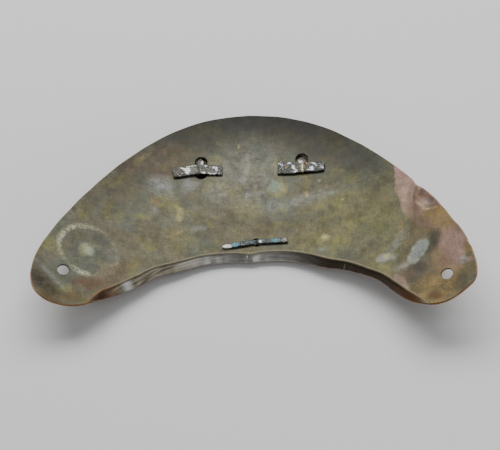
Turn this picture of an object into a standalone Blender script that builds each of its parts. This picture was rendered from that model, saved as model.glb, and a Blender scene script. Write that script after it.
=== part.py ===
"""Gorget: a crescent of thin brass worn at the neck, lying on its front with the hollow side up.

The plate is one bent sheet with a flange turned down along the neck edge. Three split tenons, riveted
into a plain band on the front, come up through the plate and have their prongs bent over on its back.
Plan positions are worked out about the centre of the neck curve: +Y runs from there to the outer edge,
and an angle is measured from +Y towards +X. At the end the whole is moved so that the origin lies at
the middle of its footprint, on the surface that it rests on.
"""
import math
from collections import namedtuple

import bmesh
import bpy
from mathutils import Matrix, Vector

MM = 0.001

# Plate outline in plan
NECK_RADIUS = 73.5 * MM         # neck centre to the fold of the neck flange
PLATE_DEPTH = 59.4 * MM         # fold to outer edge on the centre line
OUTLINE_SPAN = 57.0             # degrees from the centre line to the last row of OUTLINE
LEFT_TIP_ANGLE = 53.8           # degrees to the end of the left horn
RIGHT_TIP_ANGLE = 56.5          # degrees to the end of the right horn
TIP_ROUND_ANGLE = 44.0          # degrees where the horns begin to round off
TIP_REACH = 11.5 * MM           # neck fold to the foremost point of a horn, across the plate

# Sheet and bends
PLATE_THICKNESS = 0.8 * MM
LEFT_BEND_RADIUS = 230.0 * MM   # chest curve of the left half
RIGHT_BEND_RADIUS = 165.0 * MM  # the right half is bent up more
OUTER_DISH_RISE = 1.4 * MM      # the sheet's rise towards the outer edge
OUTER_DISH_START = 0.33         # share of PLATE_DEPTH where that rise begins
LEFT_TIP_CURL = 1.2 * MM        # upturned end of the left horn
TIP_CURL_START = 46.5           # degrees where it begins

# Neck flange
FLANGE_WIDTH = 3.4 * MM         # fold to lip, along the sheet
FLANGE_ANGLE = 57.0             # degrees that it is turned down
FLANGE_BEND_RADIUS = 1.6 * MM

# Holes and damage
HORN_HOLE_RADIUS = 2.0 * MM
SLOT_WIDTH = 4.4 * MM
SLOT_LENGTH = 9.2 * MM
SLOT_INWARD = 0.8 * MM          # the slots' centres lie this much nearer the centre line than the tenons
NECK_HOLE_RADIUS = 1.6 * MM
NICK_DEPTH = 3.0 * MM
EDGE_DENT_DEPTH = 1.1 * MM

# Badge band on the front
BADGE_RADIUS = 21.3 * MM        # to the middle of the band
BADGE_WIDTH = 6.0 * MM
BADGE_THICKNESS = 3.7 * MM      # on the centre line
BADGE_EDGE = 1.1 * MM           # chamfer along its front edges
BADGE_SIDE = 0.7 * MM           # the band's centre lies this far right of the centre line
BADGE_ACROSS = 0.420            # share of PLATE_DEPTH from the fold to the band's centre

# Split tenons
PRONG_THICKNESS = 0.65 * MM
SHANK_THICKNESS = 1.5 * MM
UPPER_SHANK_WIDTH = 2.2 * MM    # the upper prongs are hammered out wider than their shank
UPPER_PRONG_WIDTH = 4.2 * MM
NECK_SHANK_WIDTH = 1.9 * MM
NECK_PRONG_WIDTH = 1.9 * MM
ROOT_HUMP = 0.35 * MM           # the upper prongs' rise over their shank
ROOT_HUMP_REACH = 1.7 * MM
LUG_RADIUS = 1.6 * MM           # rounded root of an upper tenon in its slot, half its width
LUG_HALF_LENGTH = 2.5 * MM
LUG_OUTWARD = 2.6 * MM          # shank to the middle of that root
LUG_RISE = 0.25 * MM            # its top above the hollow face
RIVET_FLARE = 0.4 * MM          # the riveted foot stands out this much round the shank
RIVET_HEIGHT = 0.9 * MM

# Clearances
SEAT_GAP = 0.3 * MM             # between the plate and what lies against it
MORTISE_GAP = 0.3 * MM          # round a shank or a riveted foot in the band
LAND_RECESS = 0.3 * MM          # the riveted feet lie this far behind the band's front land
CUTTER_LENGTH = 6.4 * MM        # passes the sheet with room on both sides

# Facets
BODY_COLUMNS = 46
TIP_COLUMNS = 7
FLANGE_ROWS = 2
FOLD_ROWS = 2
BODY_ROWS = 12
TIP_FULLNESS = 0.94             # how far the last column goes into the round of the horn
ROUND_SIDES = 24
BAND_SIDES = 60
PRONG_STEPS = 9

# Outer edge: share of OUTLINE_SPAN from the centre line, share of PLATE_DEPTH from the fold
Outline = namedtuple("Outline", "along depth")
OUTLINE = (
    Outline(0.0, 1.000),
    Outline(0.1, 0.983),
    Outline(0.2, 0.931),
    Outline(0.3, 0.850),
    Outline(0.4, 0.760),
    Outline(0.5, 0.669),
    Outline(0.6, 0.586),
    Outline(0.7, 0.511),
    Outline(0.8, 0.440),
    Outline(0.9, 0.368),
    Outline(1.0, 0.300),
)

# Round of each horn: powers of the curve that closes it on its outer and its neck side
HornRound = namedtuple("HornRound", "outer_power neck_power")
LEFT_HORN = HornRound(2.75, 1.8)
RIGHT_HORN = HornRound(3.6, 2.7)

# Neck flange: degrees from the centre line, share of FLANGE_ANGLE that it is turned down there, share
# of FLANGE_WIDTH that is left of it, and how far the fold wanders outwards, in shares of FLANGE_WIDTH
Flange = namedtuple("Flange", "angle turn width fold")
FLANGE = (
    Flange(-54.0, 0.00, 0.35, 0.00),
    Flange(-48.0, 0.15, 0.35, 0.20),
    Flange(-45.0, 0.42, 0.45, 0.30),
    Flange(-42.0, 0.75, 0.80, 0.30),
    Flange(-39.0, 0.92, 0.90, 0.06),
    Flange(-35.0, 1.12, 1.00, -0.08),
    Flange(-31.0, 0.98, 1.00, -0.06),
    Flange(-26.5, 1.02, 1.00, 0.08),
    Flange(-20.0, 1.00, 1.00, -0.08),
    Flange(-13.0, 1.02, 1.00, 0.00),
    Flange(-5.0, 1.00, 0.98, -0.12),
    Flange(0.0, 0.96, 0.85, -0.32),
    Flange(4.0, 1.00, 0.98, -0.08),
    Flange(10.0, 1.02, 1.00, 0.12),
    Flange(16.0, 1.00, 1.00, 0.08),
    Flange(21.5, 0.96, 0.90, -0.06),
    Flange(27.0, 1.08, 0.85, 0.10),
    Flange(33.0, 1.00, 0.65, 0.10),
    Flange(37.0, 1.06, 0.70, 0.14),
    Flange(42.0, 1.08, 0.78, -0.10),
    Flange(46.0, 0.85, 0.76, -0.15),
    Flange(51.0, 0.35, 0.74, 0.00),
    Flange(56.5, 0.00, 0.74, 0.00),
)

# Holes for the hooks of the neck cord: degrees, share of the local depth from the fold
HornHole = namedtuple("HornHole", "angle across")
HORN_HOLES = (HornHole(-45.3, 0.57), HornHole(50.5, 0.50))

# Dents: degrees, share of the local depth, half length and half breadth as shares of PLATE_DEPTH,
# degrees that the length is turned from +Y, share of EDGE_DENT_DEPTH
Dent = namedtuple("Dent", "angle across half_length half_breadth turn depth")
DENTS = (
    Dent(32.9, 0.86, 0.105, 0.036, 8.0, 1.00),
    Dent(36.2, 0.92, 0.065, 0.055, 0.0, 0.75),
)

# Damage to the flange's lip: degrees, width and depth as shares of NICK_DEPTH
Nick = namedtuple("Nick", "angle width depth")
NICKS = (Nick(26.4, 0.30, 0.80), Nick(-1.9, 0.16, 0.30))

# Tenons: place round the band in degrees, prong lengths in shares of BADGE_RADIUS, degrees that each
# prong slants towards the neck
Tenon = namedtuple("Tenon", "name around left right left_slant right_slant")
LEFT_TENON = Tenon("tenon_left", -62.0, 0.44, 0.40, 11.0, 0.0)
RIGHT_TENON = Tenon("tenon_right", 63.8, 0.445, 0.34, -5.0, 4.0)
NECK_TENON = Tenon("tenon_neck", 175.7, 0.56, 0.515, 10.0, 0.0)

# Upright slots, in shares of SLOT_LENGTH: centre beyond its tenon towards the outer edge, length
Slot = namedtuple("Slot", "tenon outward length")
SLOTS = (Slot(LEFT_TENON, 0.12, 1.05), Slot(RIGHT_TENON, 0.24, 0.96))

# Prong outline: share of its length from the shank, share of the prong's width
ProngWidth = namedtuple("ProngWidth", "along width")
BLUNT_PRONG = (ProngWidth(0.0, 1.0), ProngWidth(0.93, 1.0), ProngWidth(1.0, 0.9))
SPREAD_PRONG = (ProngWidth(0.0, 1.0), ProngWidth(0.45, 1.28), ProngWidth(1.0, 1.3))
TAPERED_PRONG = (ProngWidth(0.0, 1.0), ProngWidth(0.6, 0.97), ProngWidth(1.0, 0.84))
POINTED_PRONG = (
    ProngWidth(0.0, 0.9),
    ProngWidth(0.35, 1.0),
    ProngWidth(0.75, 0.85),
    ProngWidth(0.93, 0.6),
    ProngWidth(1.0, 0.25),
)


def clear_scene():
    for obj in list(bpy.data.objects):
        bpy.data.objects.remove(obj, do_unlink=True)


def make_collection(name):
    collection = bpy.data.collections.new(name)
    bpy.context.scene.collection.children.link(collection)
    return collection


def make_material(name, colour, roughness, metallic):
    material = bpy.data.materials.new(name)
    material.use_nodes = True
    shader = material.node_tree.nodes["Principled BSDF"]
    shader.inputs["Base Color"].default_value = (*colour, 1.0)
    shader.inputs["Roughness"].default_value = roughness
    shader.inputs["Metallic"].default_value = metallic
    return material


def object_from(bm, name, collection):
    bmesh.ops.recalc_face_normals(bm, faces=bm.faces)
    mesh = bpy.data.meshes.new(name)
    bm.to_mesh(mesh)
    bm.free()
    obj = bpy.data.objects.new(name, mesh)
    collection.objects.link(obj)
    return obj


def hide_helper(obj):
    obj.hide_render = True
    obj.display_type = "WIRE"


def boolean(obj, helper, operation):
    modifier = obj.modifiers.new(helper.name, "BOOLEAN")
    modifier.object = helper
    modifier.operation = operation
    modifier.solver = "EXACT"


def follow_table(rows, at, column):
    """Smooth curve through one column of a table, against its first column, and level outside it."""
    if at <= rows[0][0]:
        return getattr(rows[0], column)
    if at >= rows[-1][0]:
        return getattr(rows[-1], column)
    i = max(k for k in range(len(rows) - 1) if rows[k][0] <= at)
    around = [rows[max(i - 1, 0)], rows[i], rows[i + 1], rows[min(i + 2, len(rows) - 1)]]
    before, start, end, after = [row[0] for row in around]
    value_before, value_start, value_end, value_after = [getattr(row, column) for row in around]
    step = end - start
    t = (at - start) / step
    start_slope = (value_end - value_before) / (end - before) * step
    end_slope = (value_after - value_start) / (after - start) * step
    return (value_start * (2 * t**3 - 3 * t**2 + 1) + start_slope * (t**3 - 2 * t**2 + t)
            + value_end * (3 * t**2 - 2 * t**3) + end_slope * (t**3 - t**2))


def polar(angle, radius):
    """Plan point at so many degrees from +Y towards +X."""
    return Vector((radius * math.sin(math.radians(angle)), radius * math.cos(math.radians(angle))))


def open_depth(angle):
    """Fold to outer edge at an angle, before the horns are rounded off."""
    return follow_table(OUTLINE, abs(angle) / OUTLINE_SPAN, "depth") * PLATE_DEPTH


def plan_point(angle, across):
    """Plan point at a share of the local depth from the fold."""
    return polar(angle, NECK_RADIUS + across * open_depth(angle))


def dent_drop(x, y):
    drop = 0.0
    for dent in DENTS:
        centre = plan_point(dent.angle, dent.across)
        turn = math.radians(dent.turn)
        side, forth = x - centre.x, y - centre.y
        along = (side * math.sin(turn) + forth * math.cos(turn)) / (dent.half_length * PLATE_DEPTH)
        beside = (side * math.cos(turn) - forth * math.sin(turn)) / (dent.half_breadth * PLATE_DEPTH)
        drop += dent.depth * EDGE_DENT_DEPTH * math.exp(-along**2 - beside**2)
    return drop


def face_height(x, y):
    """Height of the hollow face over the surface that the gorget rests on."""
    bend = LEFT_BEND_RADIUS if x < 0 else RIGHT_BEND_RADIUS
    rise = bend - math.sqrt(bend**2 - x**2)
    dish_from = NECK_RADIUS + OUTER_DISH_START * PLATE_DEPTH
    dish = max((y - dish_from) / (NECK_RADIUS + PLATE_DEPTH - dish_from), 0.0)
    angle = math.degrees(math.atan2(x, y))
    curl = max((-angle - TIP_CURL_START) / (LEFT_TIP_ANGLE - TIP_CURL_START), 0.0)
    base = BADGE_THICKNESS + SEAT_GAP + PLATE_THICKNESS
    return base + rise + OUTER_DISH_RISE * dish**2 + LEFT_TIP_CURL * curl**2 - dent_drop(x, y)


def face_normal(x, y):
    step = PLATE_THICKNESS
    slope_x = (face_height(x + step, y) - face_height(x - step, y)) / (2 * step)
    slope_y = (face_height(x, y + step) - face_height(x, y - step)) / (2 * step)
    return Vector((-slope_x, -slope_y, 1.0)).normalized()


def fold_radius(angle):
    return NECK_RADIUS + follow_table(FLANGE, angle, "fold") * FLANGE_WIDTH


def lip_radius(angle):
    """Neck centre to the flange's lip along the unbent sheet."""
    return fold_radius(angle) - follow_table(FLANGE, angle, "width") * FLANGE_WIDTH


def sheet_point(angle, radius):
    """Point of the hollow face whose distance from the neck centre, along the unbent sheet, is radius."""
    turn = math.radians(FLANGE_ANGLE * max(follow_table(FLANGE, angle, "turn"), 0.0))
    arc = FLANGE_BEND_RADIUS * turn
    fold_start = fold_radius(angle) + arc / 2
    past = max(fold_start - radius, 0.0)
    bent = min(past, arc)
    straight = past - bent
    bend_angle = bent / FLANGE_BEND_RADIUS
    inward = FLANGE_BEND_RADIUS * math.sin(bend_angle) + straight * math.cos(turn)
    drop = FLANGE_BEND_RADIUS * (1 - math.cos(bend_angle)) + straight * math.sin(turn)
    plan = polar(angle, max(radius, fold_start) - inward)
    return Vector((plan.x, plan.y, face_height(plan.x, plan.y) - drop))


def column_angles():
    """Angles of the plate's columns and how far each lies into the round of its horn, 0 to 1."""
    body = [(TIP_ROUND_ANGLE * (2 * k / BODY_COLUMNS - 1), 0.0) for k in range(BODY_COLUMNS + 1)]
    into = [math.sin(math.pi / 2 * TIP_FULLNESS * k / TIP_COLUMNS) for k in range(1, TIP_COLUMNS + 1)]
    left = [(-TIP_ROUND_ANGLE - t * (LEFT_TIP_ANGLE - TIP_ROUND_ANGLE), t) for t in reversed(into)]
    right = [(TIP_ROUND_ANGLE + t * (RIGHT_TIP_ANGLE - TIP_ROUND_ANGLE), t) for t in into]
    return left + body + right


def column_radii(angle, into_tip):
    """Distances along the unbent sheet of one column's points, lip first."""
    lip = lip_radius(angle)
    fold = fold_radius(angle)
    edge = NECK_RADIUS + open_depth(angle)
    half_fold = min(FLANGE_BEND_RADIUS * math.radians(FLANGE_ANGLE), fold - lip) / 2
    stops = [(lip, fold - half_fold, FLANGE_ROWS),
             (fold - half_fold, fold + half_fold, FOLD_ROWS),
             (fold + half_fold, edge, BODY_ROWS)]
    radii = [start + (end - start) * k / rows for start, end, rows in stops for k in range(rows)]
    radii.append(edge)
    horn = LEFT_HORN if angle < 0 else RIGHT_HORN
    tip = NECK_RADIUS + TIP_REACH
    outer_edge = tip + (edge - tip) * (1 - into_tip**horn.outer_power)**(1 / horn.outer_power)
    neck_edge = tip - (tip - lip) * (1 - into_tip**horn.neck_power)**(1 / horn.neck_power)
    return [neck_edge + (outer_edge - neck_edge) * (r - lip) / (edge - lip) for r in radii]


def make_plate(parts, helpers):
    bm = bmesh.new()
    columns = []
    for angle, into_tip in column_angles():
        radii = column_radii(angle, into_tip)
        columns.append([bm.verts.new(sheet_point(angle, radius)) for radius in radii])
    for left, right in zip(columns, columns[1:]):
        for k in range(len(left) - 1):
            bm.faces.new((left[k], right[k], right[k + 1], left[k + 1]))
    plate = object_from(bm, "plate", parts)
    if plate.data.polygons[0].normal.z < 0:
        plate.data.flip_normals()
    sheet = plate.modifiers.new("sheet", "SOLIDIFY")
    sheet.thickness = PLATE_THICKNESS
    sheet.offset = -1.0
    sheet.use_even_offset = True
    for index, hole in enumerate(HORN_HOLES):
        centre = plan_point(hole.angle, hole.across)
        boolean(plate, horn_hole_cutter(f"horn_hole_{index}", centre, helpers), "DIFFERENCE")
    for slot in SLOTS:
        boolean(plate, slot_cutter(slot, helpers), "DIFFERENCE")
    boolean(plate, neck_hole_cutter(helpers), "DIFFERENCE")
    for index, nick in enumerate(NICKS):
        boolean(plate, nick_cutter(f"nick_{index}", nick, helpers), "DIFFERENCE")
    plate.data.materials.append(make_material("patinated_brass", (0.20, 0.16, 0.09), 0.45, 1.0))
    plate.data.shade_smooth()
    return plate


def cylinder(name, radius, length, sides, collection):
    bm = bmesh.new()
    bmesh.ops.create_cone(bm, cap_ends=True, segments=sides, radius1=radius, radius2=radius, depth=length)
    return object_from(bm, name, collection)


def block(name, size, collection):
    bm = bmesh.new()
    bmesh.ops.create_cube(bm, size=1.0)
    bmesh.ops.scale(bm, vec=size, verts=bm.verts)
    return object_from(bm, name, collection)


def horn_hole_cutter(name, centre, helpers):
    cutter = cylinder(name, HORN_HOLE_RADIUS, CUTTER_LENGTH, ROUND_SIDES, helpers)
    cutter.location = (centre.x, centre.y, face_height(centre.x, centre.y))
    cutter.rotation_euler = face_normal(centre.x, centre.y).to_track_quat("Z", "Y").to_euler()
    hide_helper(cutter)
    return cutter


def tenon_place(tenon):
    """Plan point of a tenon's shank, on the middle line of the badge band."""
    return badge_centre() + polar(tenon.around, BADGE_RADIUS)


def badge_centre():
    return Vector((BADGE_SIDE, NECK_RADIUS + BADGE_ACROSS * PLATE_DEPTH))


def slot_cutter(slot, helpers):
    """Upright slot with round ends: a cylinder whose two halves are drawn apart."""
    name = f"slot_of_{slot.tenon.name}"
    cutter = cylinder(name, SLOT_WIDTH / 2, CUTTER_LENGTH, ROUND_SIDES, helpers)
    cutter.data.transform(Matrix.Rotation(math.pi / ROUND_SIDES, 4, "Z"))
    straight = slot.length * SLOT_LENGTH - SLOT_WIDTH
    for vertex in cutter.data.vertices:
        vertex.co.y += math.copysign(straight / 2, vertex.co.y)
    shank = tenon_place(slot.tenon)
    centre = Vector((shank.x - math.copysign(SLOT_INWARD, shank.x), shank.y + slot.outward * SLOT_LENGTH))
    cutter.location = (centre.x, centre.y, face_height(centre.x, centre.y))
    hide_helper(cutter)
    return cutter


def neck_hole_cutter(helpers):
    cutter = cylinder("neck_hole", NECK_HOLE_RADIUS, CUTTER_LENGTH, ROUND_SIDES, helpers)
    centre = tenon_place(NECK_TENON)
    cutter.location = (centre.x, centre.y, face_height(centre.x, centre.y))
    hide_helper(cutter)
    return cutter


def nick_cutter(name, nick, helpers):
    """Wedge across the flange, as wide as the nick at the lip and closing at its depth."""
    width, depth = nick.width * NICK_DEPTH, nick.depth * NICK_DEPTH
    lip = sheet_point(nick.angle, lip_radius(nick.angle))
    end = sheet_point(nick.angle, lip_radius(nick.angle) + depth)
    cutter = cylinder(name, depth, 2 * CUTTER_LENGTH, 3, helpers)
    inwards, side = (end - lip).normalized(), polar(nick.angle + 90, 1.0).to_3d()
    through = side.cross(inwards).normalized()
    for vertex in cutter.data.vertices:
        at_point = vertex.co.y > 0
        reach = depth if at_point else -depth
        spread = 0.0 if at_point else math.copysign(width, vertex.co.x)
        vertex.co = lip + inwards * reach + side * spread + through * vertex.co.z
    hide_helper(cutter)
    return cutter


def make_badge(parts, helpers):
    """Band on the front, flat where it rests, its back following the plate at the seat gap."""
    bm = bmesh.new()
    centre = badge_centre()
    inner, outer = BADGE_RADIUS - BADGE_WIDTH / 2, BADGE_RADIUS + BADGE_WIDTH / 2
    rings = []
    for k in range(BAND_SIDES):
        angle = 360.0 * k / BAND_SIDES
        section = []
        for radius in (inner, BADGE_RADIUS, outer):
            plan = centre + polar(angle, radius)
            tilt = face_normal(plan.x, plan.y).z
            back = face_height(plan.x, plan.y) - PLATE_THICKNESS / tilt - SEAT_GAP
            section.append((plan.x, plan.y, back))
        for radius, height in ((outer, BADGE_EDGE), (outer - BADGE_EDGE, 0.0),
                               (inner + BADGE_EDGE, 0.0), (inner, BADGE_EDGE)):
            plan = centre + polar(angle, radius)
            section.append((plan.x, plan.y, height))
        rings.append([bm.verts.new(point) for point in section])
    for here, there in zip(rings, rings[1:] + rings[:1]):
        for k in range(len(here)):
            following = (k + 1) % len(here)
            bm.faces.new((here[k], here[following], there[following], there[k]))
    badge = object_from(bm, "front_badge", parts)
    for tenon, width in ((LEFT_TENON, UPPER_SHANK_WIDTH), (RIGHT_TENON, UPPER_SHANK_WIDTH),
                         (NECK_TENON, NECK_SHANK_WIDTH)):
        plan = tenon_place(tenon)
        through = 2 * (BADGE_THICKNESS + CUTTER_LENGTH)
        shank = (SHANK_THICKNESS + 2 * MORTISE_GAP, width + 2 * MORTISE_GAP, through)
        mortise = block(f"mortise_of_{tenon.name}", shank, helpers)
        mortise.location = (plan.x, plan.y, 0.0)
        foot_height = 2 * (LAND_RECESS + RIVET_HEIGHT + MORTISE_GAP)
        foot = (shank[0] + 2 * RIVET_FLARE, shank[1] + 2 * RIVET_FLARE, foot_height)
        pocket = block(f"pocket_of_{tenon.name}", foot, helpers)
        pocket.location = (plan.x, plan.y, 0.0)
        for cutter in (mortise, pocket):
            hide_helper(cutter)
            boolean(badge, cutter, "DIFFERENCE")
    badge.data.materials.append(make_material("badge_brass", (0.36, 0.27, 0.12), 0.4, 1.0))
    return badge


def prong_stations(tenon, left_outline, right_outline):
    """Plan offset, distance from the shank and width share of each section, left tip to right tip."""
    stations = []
    for side, length, slant, outline in ((-1, tenon.left, tenon.left_slant, left_outline),
                                         (1, tenon.right, tenon.right_slant, right_outline)):
        reach = length * BADGE_RADIUS
        heading = Vector((side * math.cos(math.radians(slant)), -math.sin(math.radians(slant))))
        steps = range(PRONG_STEPS, 0, -1) if side < 0 else range(PRONG_STEPS + 1)
        for k in steps:
            share = math.sin(math.pi / 2 * k / PRONG_STEPS)
            stations.append((heading * reach * share, reach * share, follow_table(outline, share, "width")))
    return stations


def make_prongs(tenon, width, rise, left_outline, right_outline, helpers):
    """Both prongs as one strip that lies along the plate, with its rise over the shank."""
    bm = bmesh.new()
    shank = tenon_place(tenon)
    stations = prong_stations(tenon, left_outline, right_outline)
    sections = []
    for k, (offset, distance, share) in enumerate(stations):
        behind, ahead = stations[max(k - 1, 0)][0], stations[min(k + 1, len(stations) - 1)][0]
        heading = (ahead - behind).normalized()
        beside = Vector((-heading.y, heading.x)) * width * share / 2
        plan = shank + offset
        hump = rise * math.exp(-(distance / ROOT_HUMP_REACH) ** 2)
        low = face_height(plan.x, plan.y) + SEAT_GAP + hump
        near, far = plan - beside, plan + beside
        sections.append([bm.verts.new((near.x, near.y, low)), bm.verts.new((far.x, far.y, low)),
                         bm.verts.new((far.x, far.y, low + PRONG_THICKNESS)),
                         bm.verts.new((near.x, near.y, low + PRONG_THICKNESS))])
    for here, there in zip(sections, sections[1:]):
        for k in range(4):
            following = (k + 1) % 4
            bm.faces.new((here[k], here[following], there[following], there[k]))
    bm.faces.new(sections[0])
    bm.faces.new(list(reversed(sections[-1])))
    prongs = object_from(bm, f"prongs_of_{tenon.name}", helpers)
    hide_helper(prongs)
    return prongs


def make_tenon(tenon, width, prong_width, rise, outlines, material, parts, helpers):
    """Riveted foot, shank and both prongs of a tenon whose shank has that width."""
    plan = tenon_place(tenon)
    top = face_height(plan.x, plan.y) + SEAT_GAP + rise + PRONG_THICKNESS / 2
    foot_top = LAND_RECESS + RIVET_HEIGHT
    bottom = foot_top - RIVET_HEIGHT / 2
    shank = block(tenon.name, (SHANK_THICKNESS, width, top - bottom), parts)
    shank.location = (plan.x, plan.y, (top + bottom) / 2)
    foot_size = (SHANK_THICKNESS + 2 * RIVET_FLARE, width + 2 * RIVET_FLARE, RIVET_HEIGHT)
    foot = block(f"foot_of_{tenon.name}", foot_size, helpers)
    foot.location = (plan.x, plan.y, bottom)
    hide_helper(foot)
    boolean(shank, foot, "UNION")
    prongs = make_prongs(tenon, prong_width, rise, *outlines, helpers)
    boolean(shank, prongs, "UNION")
    shank.data.materials.append(material)
    return shank


def add_lug(tenon_object, tenon, helpers):
    """Rounded root of an upper tenon, through its slot and towards the outer edge."""
    plan = tenon_place(tenon)
    height = LUG_RISE + PLATE_THICKNESS
    lug = cylinder(f"lug_of_{tenon.name}", LUG_RADIUS, height, ROUND_SIDES, helpers)
    for vertex in lug.data.vertices:
        vertex.co.y *= LUG_HALF_LENGTH / LUG_RADIUS
    inward = SLOT_INWARD - (SLOT_WIDTH / 2 - SEAT_GAP - LUG_RADIUS)
    top = face_height(plan.x, plan.y) + LUG_RISE
    lug.location = (plan.x - math.copysign(inward, plan.x), plan.y + LUG_OUTWARD, top - height / 2)
    hide_helper(lug)
    boolean(tenon_object, lug, "UNION")


def make_tenons(parts, helpers):
    tinned = make_material("tinned_brass", (0.16, 0.15, 0.13), 0.55, 0.8)
    verdigris = make_material("verdigris_brass", (0.12, 0.16, 0.15), 0.6, 0.6)
    tenons = []
    for tenon, outlines in ((LEFT_TENON, (BLUNT_PRONG, BLUNT_PRONG)),
                            (RIGHT_TENON, (SPREAD_PRONG, TAPERED_PRONG))):
        piece = make_tenon(tenon, UPPER_SHANK_WIDTH, UPPER_PRONG_WIDTH, ROOT_HUMP, outlines,
                           tinned, parts, helpers)
        add_lug(piece, tenon, helpers)
        tenons.append(piece)
    neck = make_tenon(NECK_TENON, NECK_SHANK_WIDTH, NECK_PRONG_WIDTH, 0.0, (POINTED_PRONG, BLUNT_PRONG),
                      verdigris, parts, helpers)
    tenons.append(neck)
    return tenons


def centre_on_footprint(pieces, everything):
    """Parent all to an empty that puts the origin at the middle of the footprint."""
    bpy.context.view_layer.update()
    graph = bpy.context.evaluated_depsgraph_get()
    corners = []
    for piece in pieces:
        evaluated = piece.evaluated_get(graph)
        corners += [evaluated.matrix_world @ Vector(corner) for corner in evaluated.bound_box]
    low = Vector([min(corner[axis] for corner in corners) for axis in range(3)])
    high = Vector([max(corner[axis] for corner in corners) for axis in range(3)])
    carrier = bpy.data.objects.new("gorget_frame", None)
    bpy.context.scene.collection.objects.link(carrier)
    for obj in everything:
        obj.parent = carrier
    carrier.location = (-(low.x + high.x) / 2, -(low.y + high.y) / 2, -low.z)
    bpy.context.view_layer.update()


def main():
    clear_scene()
    parts = make_collection("gorget")
    helpers = make_collection("cutters")
    pieces = [make_plate(parts, helpers), make_badge(parts, helpers)] + make_tenons(parts, helpers)
    centre_on_footprint(pieces, list(parts.objects) + list(helpers.objects))


main()
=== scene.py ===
"""A crescent neck plate of patinated brass, lying on its front with the hollow back up.

Plan places are millimetres from the centre of the neck curve, +Y towards the outer edge and +X
towards the right horn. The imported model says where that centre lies.
"""

import math
from collections import namedtuple

import bmesh
import bpy
import numpy as np
from mathutils import Matrix, Vector, noise


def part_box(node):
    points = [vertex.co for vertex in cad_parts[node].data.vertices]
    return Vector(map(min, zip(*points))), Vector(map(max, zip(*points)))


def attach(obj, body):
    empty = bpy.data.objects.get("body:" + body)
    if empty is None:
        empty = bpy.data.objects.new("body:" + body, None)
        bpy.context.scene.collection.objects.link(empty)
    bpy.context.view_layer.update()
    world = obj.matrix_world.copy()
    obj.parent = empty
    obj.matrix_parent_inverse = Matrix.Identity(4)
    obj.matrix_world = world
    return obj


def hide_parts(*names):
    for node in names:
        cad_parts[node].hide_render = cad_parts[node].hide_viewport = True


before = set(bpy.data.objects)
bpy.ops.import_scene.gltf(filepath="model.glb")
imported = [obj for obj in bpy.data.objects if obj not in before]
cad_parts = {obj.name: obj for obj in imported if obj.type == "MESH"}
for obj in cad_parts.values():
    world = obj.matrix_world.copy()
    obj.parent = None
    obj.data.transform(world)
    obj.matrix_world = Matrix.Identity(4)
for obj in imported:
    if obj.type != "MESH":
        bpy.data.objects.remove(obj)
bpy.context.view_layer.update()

# The plate is one crescent of brass sheet, cut out, bent to the chest and dished a little, with a
# narrow flange turned down along the neck edge. Wear has left its fold wavy, a blow has dented its
# right edge, and its back carries an olive-brown patina with copper patches and pale water stains.
MM = 0.001
NECK_RADIUS = 73.5
PLATE_DEPTH = 59.4
PLATE_THICKNESS = 0.8
OUTLINE_SPAN = 57.0
LEFT_TIP_ANGLE = 53.8
RIGHT_TIP_ANGLE = 56.5
TIP_ROUND_ANGLE = 44.0
TIP_REACH = 11.5
LEFT_BEND_RADIUS = 230.0
RIGHT_BEND_RADIUS = 165.0
OUTER_DISH_RISE = 1.4
OUTER_DISH_START = 0.33
LEFT_TIP_CURL = 1.2
TIP_CURL_START = 46.5
FLANGE_WIDTH = 3.4
FLANGE_ANGLE = 57.0
FLANGE_BEND_RADIUS = 1.6
BADGE_THICKNESS = 3.7
SEAT_GAP = 0.3
BADGE_SIDE = 0.7
BADGE_FORTH = NECK_RADIUS + 0.420 * PLATE_DEPTH

badge_low, badge_high = (Vector(corner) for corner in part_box("front_badge"))
badge_middle = (badge_low + badge_high) / 2
NECK_CENTRE = Vector((badge_middle.x - BADGE_SIDE * MM, badge_middle.y - BADGE_FORTH * MM, 0.0))

# Outer edge: share of OUTLINE_SPAN from the centre line, share of PLATE_DEPTH from the fold
Outline = namedtuple("Outline", "along depth")
OUTLINE = (
    Outline(0.0, 1.000),
    Outline(0.1, 0.983),
    Outline(0.2, 0.931),
    Outline(0.3, 0.850),
    Outline(0.4, 0.760),
    Outline(0.5, 0.669),
    Outline(0.6, 0.586),
    Outline(0.7, 0.511),
    Outline(0.8, 0.440),
    Outline(0.9, 0.368),
    Outline(1.0, 0.300),
)

# Neck flange: degrees, share of FLANGE_ANGLE, share of FLANGE_WIDTH, wander of the fold in that share
Flange = namedtuple("Flange", "angle turn width fold")
FLANGE = (
    Flange(-54.0, 0.00, 0.35, 0.00),
    Flange(-48.0, 0.15, 0.35, 0.20),
    Flange(-45.0, 0.42, 0.45, 0.30),
    Flange(-42.0, 0.75, 0.80, 0.30),
    Flange(-39.0, 0.92, 0.90, 0.06),
    Flange(-35.0, 1.12, 1.00, -0.08),
    Flange(-31.0, 0.98, 1.00, -0.06),
    Flange(-26.5, 1.02, 1.00, 0.08),
    Flange(-20.0, 1.00, 1.00, -0.08),
    Flange(-13.0, 1.02, 1.00, 0.00),
    Flange(-5.0, 1.00, 0.98, -0.12),
    Flange(0.0, 0.96, 0.85, -0.32),
    Flange(4.0, 1.00, 0.98, -0.08),
    Flange(10.0, 1.02, 1.00, 0.12),
    Flange(16.0, 1.00, 1.00, 0.08),
    Flange(21.5, 0.96, 0.90, -0.06),
    Flange(27.0, 1.08, 0.85, 0.10),
    Flange(33.0, 1.00, 0.65, 0.10),
    Flange(37.0, 1.06, 0.70, 0.14),
    Flange(42.0, 1.08, 0.78, -0.10),
    Flange(46.0, 0.85, 0.76, -0.15),
    Flange(51.0, 0.35, 0.74, 0.00),
    Flange(56.5, 0.00, 0.74, 0.00),
)

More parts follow.
